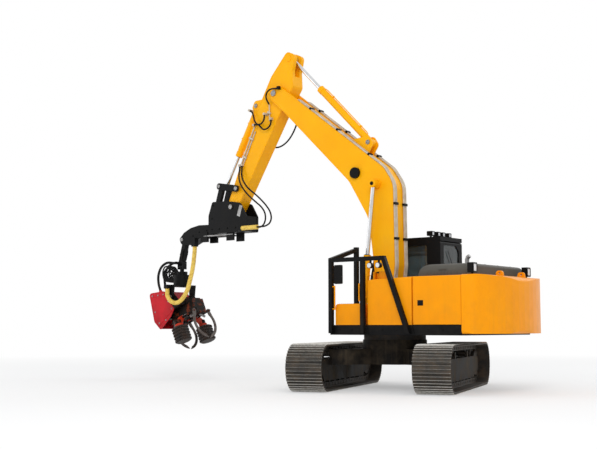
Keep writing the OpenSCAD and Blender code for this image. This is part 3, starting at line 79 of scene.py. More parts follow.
# Places that part.scad also uses, in metres
BOOM_FOOT = Vector((0.1, 0, 1.82))
BOOM_ANGLE = math.radians(57.5)
BOOM_LENGTH = 5.4
BOOM_HALF = 0.230
ARM_ANGLE = math.radians(62.3)
ARM_HALF = 0.170
BODY_HALF = 1.33
HEAD_AT = Vector((6.04, 0, 1.92))
HEAD_ANGLE = math.radians(24)
COVER_SIDES = (0.32, -0.44)
TRACK_ANGLE = math.radians(109.5)
BOOM_TIP = BOOM_FOOT + BOOM_LENGTH * Vector((math.cos(BOOM_ANGLE), 0, math.sin(BOOM_ANGLE)))
BOOM_AXES = Matrix.Translation(BOOM_FOOT) @ Matrix.Rotation(-BOOM_ANGLE, 4, "Y")
ARM_AXES = Matrix.Translation(BOOM_TIP) @ Matrix.Rotation(ARM_ANGLE, 4, "Y")
HEAD_AXES = Matrix.Translation(HEAD_AT) @ Matrix.Rotation(HEAD_ANGLE, 4, "Y")
TRACK_AXES = Matrix.Rotation(TRACK_ANGLE, 4, "Z")
WORLD = Matrix.Identity(4)

# Tracks, as part.scad has them: shoes on each, half the distance between the end wheels' centres, the wheels'
# height, the radius of the shoes' plates round a wheel, and each track's distance from the middle
SHOES = 50
TRACK_HALF = 1.77
WHEEL_Z = 0.45
PLATE_RADIUS = 0.424
TRACK_Y = 1.195

# Cylinders' feet and rod eyes as x and z: the first in the world's axes, the next two in the boom's axes
# and the other three in the arm's. The boom's two cylinders stand BOOM_CYLINDER_Y from the middle.
BOOM_CYLINDER_FOOT = (0.55, 1.36)
BOOM_CYLINDER_EYE = (2.004, 1.098)
ARM_CYLINDER_FOOT = (2.941, 1.34)
ARM_CYLINDER_EYE = (-0.832, 0.008)
TOOL_CYLINDER_FOOT = (0.45, 0.475)
TOOL_CYLINDER_EYE = (2.48, 0.53)
BOOM_CYLINDER_Y = 0.3575

# Outlines in the axes of the boom, the arm and the head, in millimetres, as part.scad has them: x, z and the
# corner's radius
BOOM_OUTLINE = [(-221, 49, 130), (392, 558, 500), (1799, 1419, 500), (2210, 1408, 400), (5507, 186, 140),
                (5432, -181, 140), (4870, -6, 250), (2481, 573, 700), (1543, 556, 700), (702, 163, 500),
                (-49, -221, 130)]
ARM_OUTLINE = [(-960, -130, 110), (-960, 130, 110), (-300, 300, 300), (550, 330, 400), (2350, 170, 300),
               (2900, 135, 130), (2900, -135, 130), (2300, -200, 300), (250, -340, 300), (-320, -400, 120),
               (-620, -220, 200)]
COVER_OUTLINE = [(671, 386, 60), (203, 233, 60), (54, -293, 40), (214, -408, 60), (646, -566, 60),
                 (770, -303, 70)]

# Length of one turn of the spiral guard round a hose
GUARD_PITCH = 0.032

# Most stretches between the points of a hose's path
PATH_STEPS = 39


def on_plane(x, z):
    """A point in the middle plane."""
    return Vector((x, 0, z))


def around(count, radius, start=0.0):
    """Points spaced evenly round a circle."""
    angles = [2 * math.pi * (k + start) / count for k in range(count)]
    return [(radius * math.cos(a), radius * math.sin(a)) for a in angles]


def add_camera():
    """The camera where the photograph was taken from."""
    data = bpy.data.cameras.new("camera")
    data.sensor_fit = "HORIZONTAL"
    data.sensor_width = SENSOR_WIDTH
    data.lens = FOCAL_PIXELS / FRAME_PIXELS * SENSOR_WIDTH
    data.clip_end = FAR_CLIP
    camera = bpy.data.objects.new("camera", data)
    level = math.cos(CAMERA_PITCH)
    ahead = Vector((level * math.cos(CAMERA_YAW), level * math.sin(CAMERA_YAW), math.sin(CAMERA_PITCH)))
    camera.location = CAMERA_AT
    camera.rotation_mode = "QUATERNION"
    camera.rotation_quaternion = ahead.to_track_quat("-Z", "Y")
    bpy.context.scene.collection.objects.link(camera)
    bpy.context.scene.camera = camera


def srgb(*channels):
    """A colour as a shader takes it, from its 0 to 255 values."""
    shares = [c / 255 for c in channels]
    return tuple(s / 12.92 if s < 0.0404 else ((s + 0.055) / 1.055) ** 2.4 for s in shares) + (1,)


class Value:
    """A shader number; arithmetic on it adds Math nodes."""

    def __init__(self, graph, socket):
        self.graph = graph
        self.socket = socket

    def __add__(self, other):
        return self.graph.math("ADD", self, other)

    def __sub__(self, other):
        return self.graph.math("SUBTRACT", self, other)

    def __rsub__(self, other):
        return self.graph.math("SUBTRACT", other, self)

    def __mul__(self, other):
        return self.graph.math("MULTIPLY", self, other)

    __radd__ = __add__
    __rmul__ = __mul__

    def rise(self, low, high):
        """0 below low, 1 above high, and even between."""
        sockets = {"Value": self, "From Min": low, "From Max": high}
        return Value(self.graph, self.graph.node("ShaderNodeMapRange", sockets).outputs["Result"])

    def clamped(self):
        return self.graph.math("MULTIPLY", self, 1.0, clamp=True)


class Graph:
    """A node tree, built by calls."""

    def __init__(self, tree):
        self.tree = tree

    def put(self, socket, value):
        """Link a value or an output to a socket, or set the socket to a plain number or colour."""
        if isinstance(value, Value):
            value = value.socket
        if isinstance(value, bpy.types.NodeSocket):
            self.tree.links.new(value, socket)
        else:
            socket.default_value = value

    def node(self, kind, sockets, **settings):
        """A new node: its settings first, then the values or links of its sockets, by name or number."""
        node = self.tree.nodes.new(kind)
        for key, value in settings.items():
            setattr(node, key, value)
        for key, value in sockets.items():
            self.put(node.inputs[key], value)
        return node

    def math(self, operation, *values, clamp=False):
        node = self.node("ShaderNodeMath", dict(enumerate(values)), operation=operation, use_clamp=clamp)
        return Value(self, node.outputs[0])

    def mix(self, factor, a, b):
        """A colour between a and b."""
        return self.node("ShaderNodeMix", {0: factor, 6: a, 7: b}, data_type="RGBA").outputs[2]

    def seen_directly(self):
        """1 for what the camera sees, also in gloss and through glass."""
        rays = self.node("ShaderNodeLightPath", {}).outputs
        seen = self.math("MAXIMUM", rays["Is Camera Ray"], rays["Is Glossy Ray"])
        return self.math("MAXIMUM", seen, rays["Is Transmission Ray"])

    def show(self, factor, plain, white, output):
        """Mix two shaders into the surface of an output node."""
        mixed = self.node("ShaderNodeMixShader", {0: factor, 1: plain, 2: white}).outputs[0]
        self.put(self.tree.nodes[output].inputs["Surface"], mixed)


class Finish(Graph):
    """A new material, whose patterns read Object coordinates."""

    def __init__(self, name):
        self.material = bpy.data.materials.new(name)
        self.material.use_nodes = True
        super().__init__(self.material.node_tree)
        self.shader = self.tree.nodes["Principled BSDF"]
        self.coordinates = self.node("ShaderNodeTexCoord", {}).outputs["Object"]
        split = self.node("ShaderNodeSeparateXYZ", {"Vector": self.coordinates})
        self.x, self.y, self.z = (Value(self, socket) for socket in split.outputs)

    def noise(self, scale, detail=3.0, stretch=(1, 1, 1), rough=0.55):
        mapping = self.node("ShaderNodeMapping", {"Vector": self.coordinates, "Scale": stretch})
        sockets = {"Vector": mapping.outputs[0], "Scale": scale, "Detail": detail, "Roughness": rough}
        return Value(self, self.node("ShaderNodeTexNoise", sockets).outputs[0])

    def wave(self, scale, direction, distortion=0.0):
        """Bands across a direction."""
        sockets = {"Vector": self.coordinates, "Scale": scale, "Distortion": distortion}
        return Value(self, self.node("ShaderNodeTexWave", sockets, bands_direction=direction).outputs["Fac"])

    def set(self, **sockets):
        """Values or links of the Principled shader's sockets, with _ for a space."""
        for key, value in sockets.items():
            self.put(self.shader.inputs[key.replace("_", " ")], value)

    def bump(self, height, strength, distance):
        node = self.node("ShaderNodeBump", {"Height": height, "Strength": strength, "Distance": distance})
        self.set(Normal=node.outputs[0])


def paint(name, base, deep, dust, rough, dusty, chips, chip=srgb(95, 88, 80), gloss=0.22, low=1.2, high=2.2):
    """Paint with faint patches, dust that thickens from high down to low, streaks and small chips."""
    g = Finish(name)
    patches = g.noise(1.7, 4).rise(0.35, 0.7)
    clouds = g.noise(3.2, 6).rise(0.42, 0.72)
    streaks = g.noise(9, 4, (1, 1, 0.08)).rise(0.52, 0.8)
    falling = (high - g.z).rise(0.0, high - low + 0.001)
    grime = ((clouds * 0.7 + streaks * 0.5) * (falling * 0.75 + 0.25) * dusty).clamped()
    specks = g.noise(38, 5, rough=0.7).rise(0.7 - 0.04 * chips, 0.74)
    worn = (specks * g.noise(2.3, 2).rise(0.45, 0.6) * chips).clamped()
    colour = g.mix(patches * 0.5, base, deep)
    colour = g.mix(grime, colour, dust)
    colour = g.mix(worn, colour, chip)
    g.set(Base_Color=colour, Roughness=grime * 0.35 + worn * 0.2 + rough, Specular_IOR_Level=gloss)
    g.bump(g.noise(240, 2) * 0.3 - worn + grime * 0.4, 0.25, 0.002)
    return g.material


def stained_paint(name, base, rust, dust, scratch):
    """Nearly black paint with patches of older paint and rust under it, dirt from bark and pale scuffs."""
    g = Finish(name)
    old = g.noise(7, 5, rough=0.65).rise(0.54, 0.64)
    dirt = g.noise(14, 6, (1, 1, 0.5), 0.7).rise(0.5, 0.72)
    scuffs = g.noise(60, 4, rough=0.7).rise(0.64, 0.7)
    colour = g.mix((old * 0.6).clamped(), base, rust)
    colour = g.mix(dirt * 0.6, colour, dust)
    colour = g.mix(scuffs * 0.5, colour, scratch)
    g.set(Base_Color=colour, Roughness=dirt * 0.3 + 0.45, Specular_IOR_Level=0.1)
    g.bump(g.noise(120, 4) * 0.4 + dirt * 0.6 - scuffs, 0.35, 0.003)
    return g.material


def worn_steel(name, base, rust, shine, metallic, rusty, rough):
    """Bare steel with patches of rust, rubbed bright in spots."""
    g = Finish(name)
    patch = g.noise(5, 6, rough=0.65).rise(0.4, 0.7)
    rub = g.noise(26, 4, rough=0.7).rise(0.6, 0.75)
    colour = g.mix((patch * rusty).clamped(), base, rust)
    colour = g.mix(rub * 0.5, colour, shine)
    g.set(Base_Color=colour, Metallic=(1 - patch * 0.6) * metallic,
          Roughness=patch * 0.25 - rub * 0.12 + rough)
    g.bump(g.noise(90, 4) + patch * 0.6, 0.3, 0.003)
    return g.material


def chromed_rod(name, base, oil):
    """Chrome with a thin film of oil and dust."""
    g = Finish(name)
    film = g.noise(14, 4, (1, 1, 0.3)).rise(0.45, 0.8)
    g.set(Base_Color=g.mix(film * 0.5, base, oil), Metallic=1.0, Roughness=film * 0.25 + 0.1)
    g.bump(g.noise(160, 2), 0.05, 0.001)
    return g.material


def hose_rubber(name, base, dust):
    g = Finish(name)
    grime = g.noise(12, 5).rise(0.45, 0.75)
    g.set(Base_Color=g.mix(grime * 0.6, base, dust), Roughness=grime * 0.2 + 0.62, Specular_IOR_Level=0.15)
    g.bump(g.noise(320, 3) + g.noise(30, 3) * 0.5, 0.2, 0.001)
    return g.material


def shoe_steel(name, base, dirt, shine):
    """Dirty shoes whose grousers are rubbed bright at their tips, round the loops of both tracks."""
    g = Finish(name)
    turn = TRACK_AXES.to_3x3()
    along = g.x * turn[0][0] + g.y * turn[1][0]
    over = g.math("MAXIMUM", g.math("ABSOLUTE", along) - TRACK_HALF, 0.0)
    up = g.z - WHEEL_Z
    off = g.math("SQRT", over * over + up * up)
    tips = off.rise(PLATE_RADIUS + 0.006, PLATE_RADIUS + 0.020)
    rub = (tips * (g.noise(30, 4).rise(0.3, 0.6) * 0.45 + 0.55)).clamped()
    mud = g.noise(6, 6, rough=0.65).rise(0.42, 0.68)
    colour = g.mix(rub, g.mix(mud * 0.7, base, dirt), shine)
    g.set(Base_Color=colour, Metallic=rub * 0.5 + 0.2, Roughness=mud * 0.2 - rub * 0.25 + 0.6)
    g.bump(g.noise(80, 4) + mud * 0.8, 0.35, 0.003)
    return g.material


def seat_cloth(name, base, deep):
    """Woven cloth, darker where it is soiled."""
    g = Finish(name)
    weave = g.wave(90, "X", 1.5) * g.wave(90, "Z", 1.5)
    grime = g.noise(8, 5).rise(0.45, 0.75)
    colour = g.mix((weave * 0.35 + grime * 0.45).clamped(), base, deep)
    g.set(Base_Color=colour, Roughness=weave * 0.1 + 0.75, Specular_IOR_Level=0.15)
    g.bump(weave, 0.5, 0.002)
    return g.material


def spiral_guard(name, base, deep, straight=False):
    """Spiral guard, whose turns follow a hose's mark of distance, or X on a straight one, with painted shade
    in the grooves between the turns.
    """
    g = Finish(name)
    along = g.x
    if not straight:
        along = Value(g, g.node("ShaderNodeAttribute", {}, attribute_name="along").outputs["Fac"])
    turns = g.math("SINE", along * (2 * math.pi / GUARD_PITCH)) * 0.5 + 0.5
    # Painted shade: the grooves between the turns are darkened towards the deep colour
    groove_shade = 1 - turns.rise(0.0, 0.35)
    grime = g.noise(9, 5).rise(0.45, 0.75)
    colour = g.mix((groove_shade * 0.6 + grime * 0.4).clamped(), base, deep)
    g.set(Base_Color=colour, Roughness=grime * 0.2 + 0.5, Specular_IOR_Level=0.2)
    g.bump(turns.rise(0.0, 0.5), 0.8, 0.006)
    return g.material


def window_glass(name, base, dust):
    g = Finish(name)
    film = g.noise(6, 5).rise(0.5, 0.85)
    g.set(Base_Color=g.mix(film, base, dust), Roughness=film * 0.2 + 0.03, Transmission_Weight=0.85, IOR=1.45)
    g.bump(g.noise(3, 2), 0.03, 0.002)
    return g.material


def lamp_lens(name, base, deep):
    """Ribbed lens under a clear coat."""
    g = Finish(name)
    ribs = g.wave(22, "Z")
    g.set(Base_Color=g.mix(ribs * 0.4, base, deep), Roughness=ribs * 0.1 + 0.12, Coat_Weight=0.6)
    g.bump(ribs, 0.3, 0.003)
    return g.material


# Paints: base, deeper patches and dust, then roughness, share of dust and share of chips.
# Steels: base, rust and rubbed spots, then metallic, share of rust and roughness.
MATERIALS = {
    "yellow": paint("yellow_paint", srgb(253, 160, 4), srgb(247, 148, 4), srgb(176, 120, 44), 0.32, 0.3, 0.3,
                    gloss=0.12),
    "boom_yellow": paint("boom_yellow", srgb(255, 183, 6), srgb(251, 166, 5), srgb(200, 150, 64),
                         0.32, 0.2, 0.3, gloss=0.12, low=2, high=5),
    "black": paint("black_paint", srgb(17, 17, 18), srgb(11, 11, 12), srgb(62, 56, 48), 0.4, 0.28, 0.5,
                   srgb(84, 80, 76), gloss=0.09),
    "frame_black": paint("frame_black", srgb(34, 31, 29), srgb(20, 19, 18), srgb(96, 84, 68), 0.6, 0.9, 1.0,
                         srgb(90, 70, 52), gloss=0.1),
    "hood_grey": paint("hood_grey", srgb(84, 82, 76), srgb(62, 61, 57), srgb(120, 112, 96), 0.5, 0.5, 0.3,
                       gloss=0.2),
    "red": paint("red_paint", srgb(204, 24, 38), srgb(172, 12, 28), srgb(92, 34, 30), 0.36, 0.95, 1.4,
                 srgb(56, 30, 27), gloss=0.18, low=1, high=2),
    "arm_red": paint("arm_red", srgb(196, 52, 22), srgb(146, 34, 18), srgb(70, 42, 30), 0.5, 1.0, 1.0,
                     srgb(50, 36, 32), low=0.8, high=2),
    "head_black": stained_paint("head_paint", srgb(15, 13, 12), srgb(142, 58, 26), srgb(66, 46, 34),
                                srgb(128, 110, 98)),
    "shoes": shoe_steel("track_shoes", srgb(52, 49, 45), srgb(98, 84, 68), srgb(214, 211, 204)),
    "track": worn_steel("track_steel", srgb(52, 49, 46), srgb(84, 68, 52), srgb(130, 126, 120),
                        0.4, 0.8, 0.6),
    "drum": worn_steel("drum_steel", srgb(28, 25, 23), srgb(64, 44, 32), srgb(96, 92, 88),
                       0.3, 0.8, 0.55),
    "steel": worn_steel("bare_steel", srgb(150, 150, 150), srgb(110, 96, 80), srgb(210, 210, 212),
                        0.8, 0.35, 0.32),
    "blade": worn_steel("blade_steel", srgb(74, 68, 64), srgb(66, 40, 28), srgb(200, 200, 202),
                        0.5, 0.8, 0.4),
    "pipe": worn_steel("pipe_steel", srgb(206, 196, 178), srgb(140, 100, 66), srgb(235, 230, 220),
                       0.2, 0.5, 0.4),
    "chrome": chromed_rod("rod_chrome", srgb(215, 216, 218), srgb(150, 140, 125)),
    "rubber": hose_rubber("hose_rubber", srgb(17, 17, 18), srgb(60, 56, 50)),
    # The guards' second colour is both their grime and the painted shade in the grooves between their turns
    "sleeve": spiral_guard("hose_guard", srgb(255, 220, 108), srgb(172, 118, 34)),
    "beam_guard": spiral_guard("beam_guard", srgb(255, 220, 108), srgb(172, 118, 34), straight=True),
    "seat": seat_cloth("seat_cloth", srgb(44, 44, 48), srgb(24, 24, 26)),
    "glass": window_glass("window_glass", srgb(120, 132, 134), srgb(88, 92, 88)),
    "lens": lamp_lens("lamp_lens", srgb(236, 238, 240), srgb(150, 150, 150)),
}

# The CAD nodes of each finish
LOOK = {
    "yellow": "counterweight tank_block step_box bay_frame left_door right_door handrails",
    "boom_yellow": "boom arm boom_barrels arm_barrel tool_barrel",
    "black": "platform cab_shell cab_door cab_guard front_guard work_lamps mirror boom_fittings guide_links "
             "push_link beam hanging_link swivel_cross rotator_hanger engine_block",
    "frame_black": "car_body track_frames",
    "hood_grey": "engine_hood",
    "red": "head_cover",
    "arm_red": "feed_arms_near feed_arms_far",
    "head_black": "head_frame",
    "shoes": "track_left track_right",
    "track": "final_drives idlers rollers slew_ring",
    "drum": "feed_roller_near feed_roller_far",
    "blade": "knives_near knives_far saw_bar",
    "pipe": "boom_pipes arm_pipes",
    "chrome": "boom_rods arm_rod tool_rod",
    "glass": "cab_glass door_glass",
    "seat": "cab_seat",
    "rubber": "joint_hoses arm_hoses beam_hoses rotator_hoses",
    "sleeve": "head_sleeve",
    "beam_guard": "beam_sleeve",
}


def dress_nodes():
    """Give each CAD node its finish."""
    for look, names in LOOK.items():
        for name in names.split():
            slots = NODES[name].data.materials
            slots.clear()
            slots.append(MATERIALS[look])


class Build:
    """A mesh put together from plain solids, in the axes that it is given."""

    def __init__(self, axes=WORLD):
        self.mesh = bmesh.new()
        self.axes = axes

    def box(self, corner, opposite, edge=0.0):
        """A box between two opposite corners, with its edges rounded."""
        low = Vector([min(pair) for pair in zip(corner, opposite)])
        high = Vector([max(pair) for pair in zip(corner, opposite)])
        place = self.axes @ Matrix.Translation((low + high) / 2) @ Matrix.Diagonal((*(high - low), 1))
        made = bmesh.ops.create_cube(self.mesh, size=1, matrix=place)
        if edge:
            edges = dict.fromkeys(e for v in made["verts"] for e in v.link_edges)
            bmesh.ops.bevel(self.mesh, geom=list(edges), offset=edge, segments=2, profile=0.5, affect="EDGES",
                            material=-1)

    def bar(self, a, b, radius, sides=16, end=None):
        """A bar from a to b, which tapers to another radius where end is given."""
        a, b = Vector(a), Vector(b)
        turn = (b - a).to_track_quat("Z", "Y").to_matrix().to_4x4()
        bmesh.ops.create_cone(self.mesh, cap_ends=True, segments=sides, radius1=radius,
                              radius2=radius if end is None else end, depth=(b - a).length,
                              matrix=self.axes @ Matrix.Translation((a + b) / 2) @ turn)

    def bolt(self, at, way, radius=0.012, height=0.008):
        """A hexagon head on its washer."""
        at, way = Vector(at), Vector(way).normalized()
        self.bar(at, at + way * height * 0.3, radius * 1.35)
        self.bar(at + way * height * 0.3, at + way * height * 1.3, radius, 6)

    def tube(self, route, radius, sides=12):
        """A tube along the route's points, in rings that don't twist, each marked with its distance along."""
        route = [self.axes @ Vector(p) for p in route]
        marks = self.mesh.verts.layers.float
        mark = marks.get("along") or marks.new("along")
        before = [route[0]] + route
        after = route[1:] + [route[-1]]
        aside = (route[1] - route[0]).orthogonal()
        gone = 0.0
        rings = []
        for last, point, following in zip(before, route, after):
            along = (following - last).normalized()
            aside = (aside - along * aside.dot(along)).normalized()
            up = along.cross(aside)
            gone += (point - last).length
            rings.append([self.mesh.verts.new(point + aside * x + up * y) for x, y in around(sides, radius)])
            for corner in rings[-1]:
                corner[mark] = gone
        for a, b in zip(rings, rings[1:]):
            for k in range(sides):
                self.mesh.faces.new((a[k - 1], a[k], b[k], b[k - 1]))
        self.mesh.faces.new(rings[0][::-1])
        self.mesh.faces.new(rings[-1])

    def done(self, name, look, body=None, smooth=40):
        """The mesh as a piece with its finish, which rides on a body."""
        bmesh.ops.recalc_face_normals(self.mesh, faces=self.mesh.faces)
        data = bpy.data.meshes.new(name)
        self.mesh.to_mesh(data)
        self.mesh.free()
        data.materials.append(MATERIALS[look])
        data.polygons.foreach_set("use_smooth", [True] * len(data.polygons))
        data.set_sharp_from_angle(angle=math.radians(smooth))
        piece = bpy.data.objects.new(name, data)
        bpy.context.scene.collection.objects.link(piece)
        if body:
            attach(piece, body)
        return piece


def smooth_route(points, steps=4):
    """The points with a smooth curve through them, in steps between each two."""
    points = [Vector(p) for p in points]
    points = [points[0] * 2 - points[1]] + points + [points[-1] * 2 - points[-2]]
    route = []
    for a, b, c, d in zip(points, points[1:], points[2:], points[3:]):
        for k in range(steps):
            t = k / steps
            square = (a * 2 - b * 5 + c * 4 - d) * t ** 2
            cube = (b * 3 - a - c * 3 + d) * t ** 3
            route.append((b * 2 + (c - a) * t + square + cube) / 2)
    return route + [points[-2]]


def length_of(route):
    return sum((b - a).length for a, b in zip(route, route[1:]))


def rounded(table, steps=5):
    """The outline of a table of x, z and corner radius in millimetres, in metres, as part.scad rounds it."""
    outline = []
    corners = [(Vector((x, z)) / 1000, radius / 1000) for x, z, radius in table]
    for i, (corner, radius) in enumerate(corners):
        back = (corners[i - 1][0] - corner).normalized()
        on = (corners[(i + 1) % len(corners)][0] - corner).normalized()
        half = math.acos(max(-1, min(1, back.dot(on)))) / 2
        centre = corner + (back + on).normalized() * radius / math.sin(half)
        start = corner + back * radius / math.tan(half) - centre
        end = corner + on * radius / math.tan(half) - centre
        first = math.atan2(start.y, start.x)
        sweep = (math.atan2(end.y, end.x) - first + 3 * math.pi) % (2 * math.pi) - math.pi
        angles = [first + sweep * k / steps for k in range(steps + 1)]
        outline += [centre + radius * Vector((math.cos(a), math.sin(a))) for a in angles]
    return outline


# The hoses' routes, in millimetres, as part.scad has them: node, look, diameter, bodies, points
HOSES = {
    "boom_hose": ("joint_hoses", "rubber", 36, "boom", "arm", [
        (2860.3, 268, 6465), (2930, 268, 6465), (3020, 276, 6470), (3100, 284, 6448), (3160, 284, 6395),
        (3192, 272, 6325), (3190, 248, 6250), (3168, 220, 6185), (3166.04, 200.37, 6156.53)]),
    "boom_hose_far": ("joint_hoses", "rubber", 36, "boom", "arm", [
        (2720, -268, 5959.7), (2720, -268, 5880), (2740, -270, 5760), (2800, -272, 5630),
        (2885, -272, 5500), (2990, -268, 5385), (3115, -260, 5300), (3255, -248, 5255), (3390, -232, 5268),
        (3485, -214, 5335), (3525, -206, 5415), (3525, -206, 5479.7)]),
    "tool_hose": ("arm_hoses", "rubber", 36, "arm", None, [
        (3702.6, 225, 6070.5), (3665, 225, 6050.8), (3613, 238, 5995), (3572, 255, 5915),
        (3535, 268, 5830), (3482, 278, 5754), (3432, 284, 5722), (3374, 288, 5710), (3302, 290, 5729),
        (3249, 288, 5782), (3230, 285, 5854), (3230, 285, 5904.7)]),
    "arm_hose": ("arm_hoses", "rubber", 36, "arm", None, [
        (3579.7, 215, 5735), (3510, 215, 5735), (3440, 222, 5712), (3365, 240, 5650), (3300, 250, 5602),
        (3234, 254, 5588), (3162, 250, 5607), (3109, 238, 5660), (3090, 222, 5732), (3090, 222, 5789.7)]),
    "beam_hose_a": ("beam_hoses", "rubber", 36, "arm", "beam", [
        (4020, 215, 4829.7), (4020, 215, 4760), (4022, 235, 4640), (3980, 262, 4495), (3890, 278, 4350),
        (3760, 285, 4210), (3610, 285, 4080), (3450, 282, 3960), (3310, 278, 3850), (3215, 276, 3720),
        (3195, 275, 3580), (3245, 275, 3463), (3335, 275, 3412), (3399.7, 275, 3412)]),
    "beam_hose_b": ("beam_hoses", "rubber", 36, "arm", "beam", [
        (3950, 215, 4839.7), (3950, 215, 4770), (3930, 245, 4640), (3860, 280, 4500), (3730, 305, 4350),
        (3580, 318, 4230), (3420, 325, 4120), (3270, 328, 4000), (3130, 330, 3870), (3020, 330, 3730),
        (2980, 330, 3590), (3030, 328, 3475), (3160, 326, 3417), (3300, 325, 3412), (3399.7, 325, 3412)]),
    "head_hose": ("head_sleeve", "sleeve", 100, "beam", "hanging_link", [
        (5440, 190, 3080), (5440, 190, 2985), (5415, 235, 2820), (5372, 305, 2640), (5330, 392, 2450),
        (5340, 436, 2280), (5400, 445, 2090), (5490, 460, 1930), (5620, 465, 1810), (5770, 463, 1768),
        (5910, 455, 1795), (6015, 445, 1865), (6078, 434, 1950), (6094, 425, 2030), (6094, 425, 2109)]),
    "rotator_hose_near": ("rotator_hoses", "rubber", 60, "hanging_link", "swivel_cross", [
        (6140.3, 105, 2730), (6230, 105, 2730), (6450, 105, 2740), (6640, 105, 2640), (6735, 105, 2450),
        (6725, 105, 2250), (6660, 105, 2080)]),
    "rotator_hose_far": ("rotator_hoses", "rubber", 60, "hanging_link", "swivel_cross", [
        (6140.3, -105, 2730), (6230, -105, 2730), (6450, -105, 2740), (6640, -105, 2640),
        (6735, -105, 2450), (6725, -105, 2250), (6660, -105, 2080)]),
}

def add_hoses():
    """Each hose as a tube along its route in place of its CAD node, blended between its two bodies where it
    has two.
    """
    for name, (node, look, diameter, body, other, points) in HOSES.items():
        points = [Vector(p) / 1000 for p in points]
        steps = PATH_STEPS // (len(points) - 1)
        path = smooth_route(points, steps)
        made = Build()
        made.tube(smooth_route(points, 3 * steps), diameter / 2000, 16)
        hose = made.done(name, look, None if other else body)
        if other:
            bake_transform(hose, body, other, path[0], path[-1])
        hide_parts(node)
        length_of(path)


def add_floor():
    """A pale floor that the camera sees turn white with distance, and that keeps the shadow."""
    g = Finish("floor")
    pale = g.mix(g.noise(0.4, 3) * 0.3, srgb(250, 250, 250), srgb(245, 245, 245))
    g.set(Base_Color=pale, Roughness=0.85)
    away = g.math("SQRT", g.x * g.x + g.y * g.y).rise(*FLOOR_FADE)
    factor = g.seen_directly() * (away * (1 - FLOOR_WHITE) + FLOOR_WHITE)
    g.show(factor, g.shader.outputs[0], g.node("ShaderNodeEmission", {}).outputs[0], "Material Output")
    MATERIALS["floor"] = g.material
    made = Build()
    bmesh.ops.create_grid(made.mesh, x_segments=1, y_segments=1, size=FLOOR_HALF)
    made.done("floor", "floor")


def add_lights():
    """A pale world, which the camera sees as plain white, and the area lights."""
    world = bpy.data.worlds.new("world")
    bpy.context.scene.world = world
    world.use_nodes = True
    g = Graph(world.node_tree)
    pale = g.tree.nodes["Background"]
    g.put(pale.inputs["Color"], SKY_COLOUR)
    g.put(pale.inputs["Strength"], SKY_STRENGTH)
    white = g.node("ShaderNodeBackground", {"Color": (1, 1, 1, 1)})
    g.show(g.seen_directly(), pale.outputs[0], white.outputs[0], "World Output")
    bpy.context.scene.view_settings.view_transform = "Standard"
    for name, (at, aim, size, power) in LIGHTS.items():
        light = bpy.data.lights.new(name, "AREA")
        light.size = size
        light.energy = power
        lamp = bpy.data.objects.new(name, light)
        lamp.location = at
        lamp.rotation_mode = "QUATERNION"
        lamp.rotation_quaternion = (Vector(aim) - Vector(at)).to_track_quat("-Z", "Y")
        bpy.context.scene.collection.objects.link(lamp)


def weld_seams():
    """Beads along the edges of the boom's and the arm's side plates."""
    for name, axes, table, half, body in (("boom_welds", BOOM_AXES, BOOM_OUTLINE, BOOM_HALF, "boom"),
                                          ("arm_welds", ARM_AXES, ARM_OUTLINE, ARM_HALF, "arm")):
        made = Build(axes)
        outline = rounded(table)
        for side in (-1, 1):
            route = []
            for i, point in enumerate(outline):
                ahead = (outline[(i + 1) % len(outline)] - outline[i - 1]).normalized()
                x, z = point + Vector((ahead.y, -ahead.x)) * 0.018
                route.append((x, side * (half - 0.001), z))
            made.tube(route + route[:1], 0.006, 6)
        made.done(name, "boom_yellow", body)


def pin_caps():
    """Caps with keeper bolts on the ends of the large pins."""
    # Finish, axes, pin's x and z, outer face, radius, body
    rows = [("steel", BOOM_AXES, (0, 0), 0.232, 0.085, "boom"),
            ("steel", BOOM_AXES, (BOOM_LENGTH, 0), 0.25, 0.07, "boom"),
            ("steel", BOOM_AXES, ARM_CYLINDER_FOOT, 0.12, 0.05, "boom"),
            ("steel", ARM_AXES, (2.76, 0), 0.23, 0.055, "arm"),
            ("steel", ARM_AXES, (2.32, 0.03), 0.254, 0.05, "arm"),
            ("steel", ARM_AXES, TOOL_CYLINDER_FOOT, 0.115, 0.05, "arm"),
            ("steel", ARM_AXES, TOOL_CYLINDER_EYE, 0.258, 0.042, "guide_links"),
            ("black", WORLD, BOOM_CYLINDER_FOOT, 0.461, 0.05, "upper"),
            ("black", WORLD, (BOOM_FOOT.x, BOOM_FOOT.z), 0.306, 0.07, "upper"),
            ("steel", WORLD, (5.9, 3.27), 0.16, 0.045, "beam"),
            ("steel", WORLD, (HEAD_AT.x, HEAD_AT.z), 0.38, 0.045, "rotator")]
    for k, (look, axes, (x, z), face, radius, body) in enumerate(rows):
        made = Build(axes)
        for side in (-1, 1):
            outer = side * (face + 0.010)
            made.bar((x, side * (face - 0.004), z), (x, outer, z), radius, 28, radius * 0.93)
            for angle in (0.6, 2.7, 4.8):
                dx, dz = 0.6 * radius * math.cos(angle), 0.6 * radius * math.sin(angle)
                made.bolt((x + dx, outer, z + dz), (0, side, 0), 0.010, 0.007)
        made.done("pin_caps_%d" % k, look, body)


def cylinder_gland(name, axes, length, radius, body):
    """Bolted gland on a barrel's end, with its wiper round the rod."""
    made = Build(axes)
    for y, z in around(10, radius - 0.008, 0.5):
        made.bolt((length, y, z), (1, 0, 0), 0.008, 0.009)
    made.bar((length - 0.002, 0, 0), (length + 0.016, 0, 0), 0.053, 28, 0.049)
    made.done(name + "_gland", "black", body)


def cylinder_line(name, axes, length, radius, body):
    """Oil line along a barrel, held by two clips."""
    made = Build(axes)
    low, high = radius + 0.016, radius + 0.022
    made.tube([(0.2, 0, 0), (0.2, 0, low), (0.26, 0, high), (length - 0.2, 0, high), (length - 0.13, 0, low),
               (length - 0.13, 0, 0)], 0.011, 10)
    for x in (0.45, length - 0.4):
        made.box((x - 0.012, -0.024, radius - 0.01), (x + 0.012, 0.024, radius + 0.036), 0.003)
    made.done(name + "_line", "boom_yellow", body)


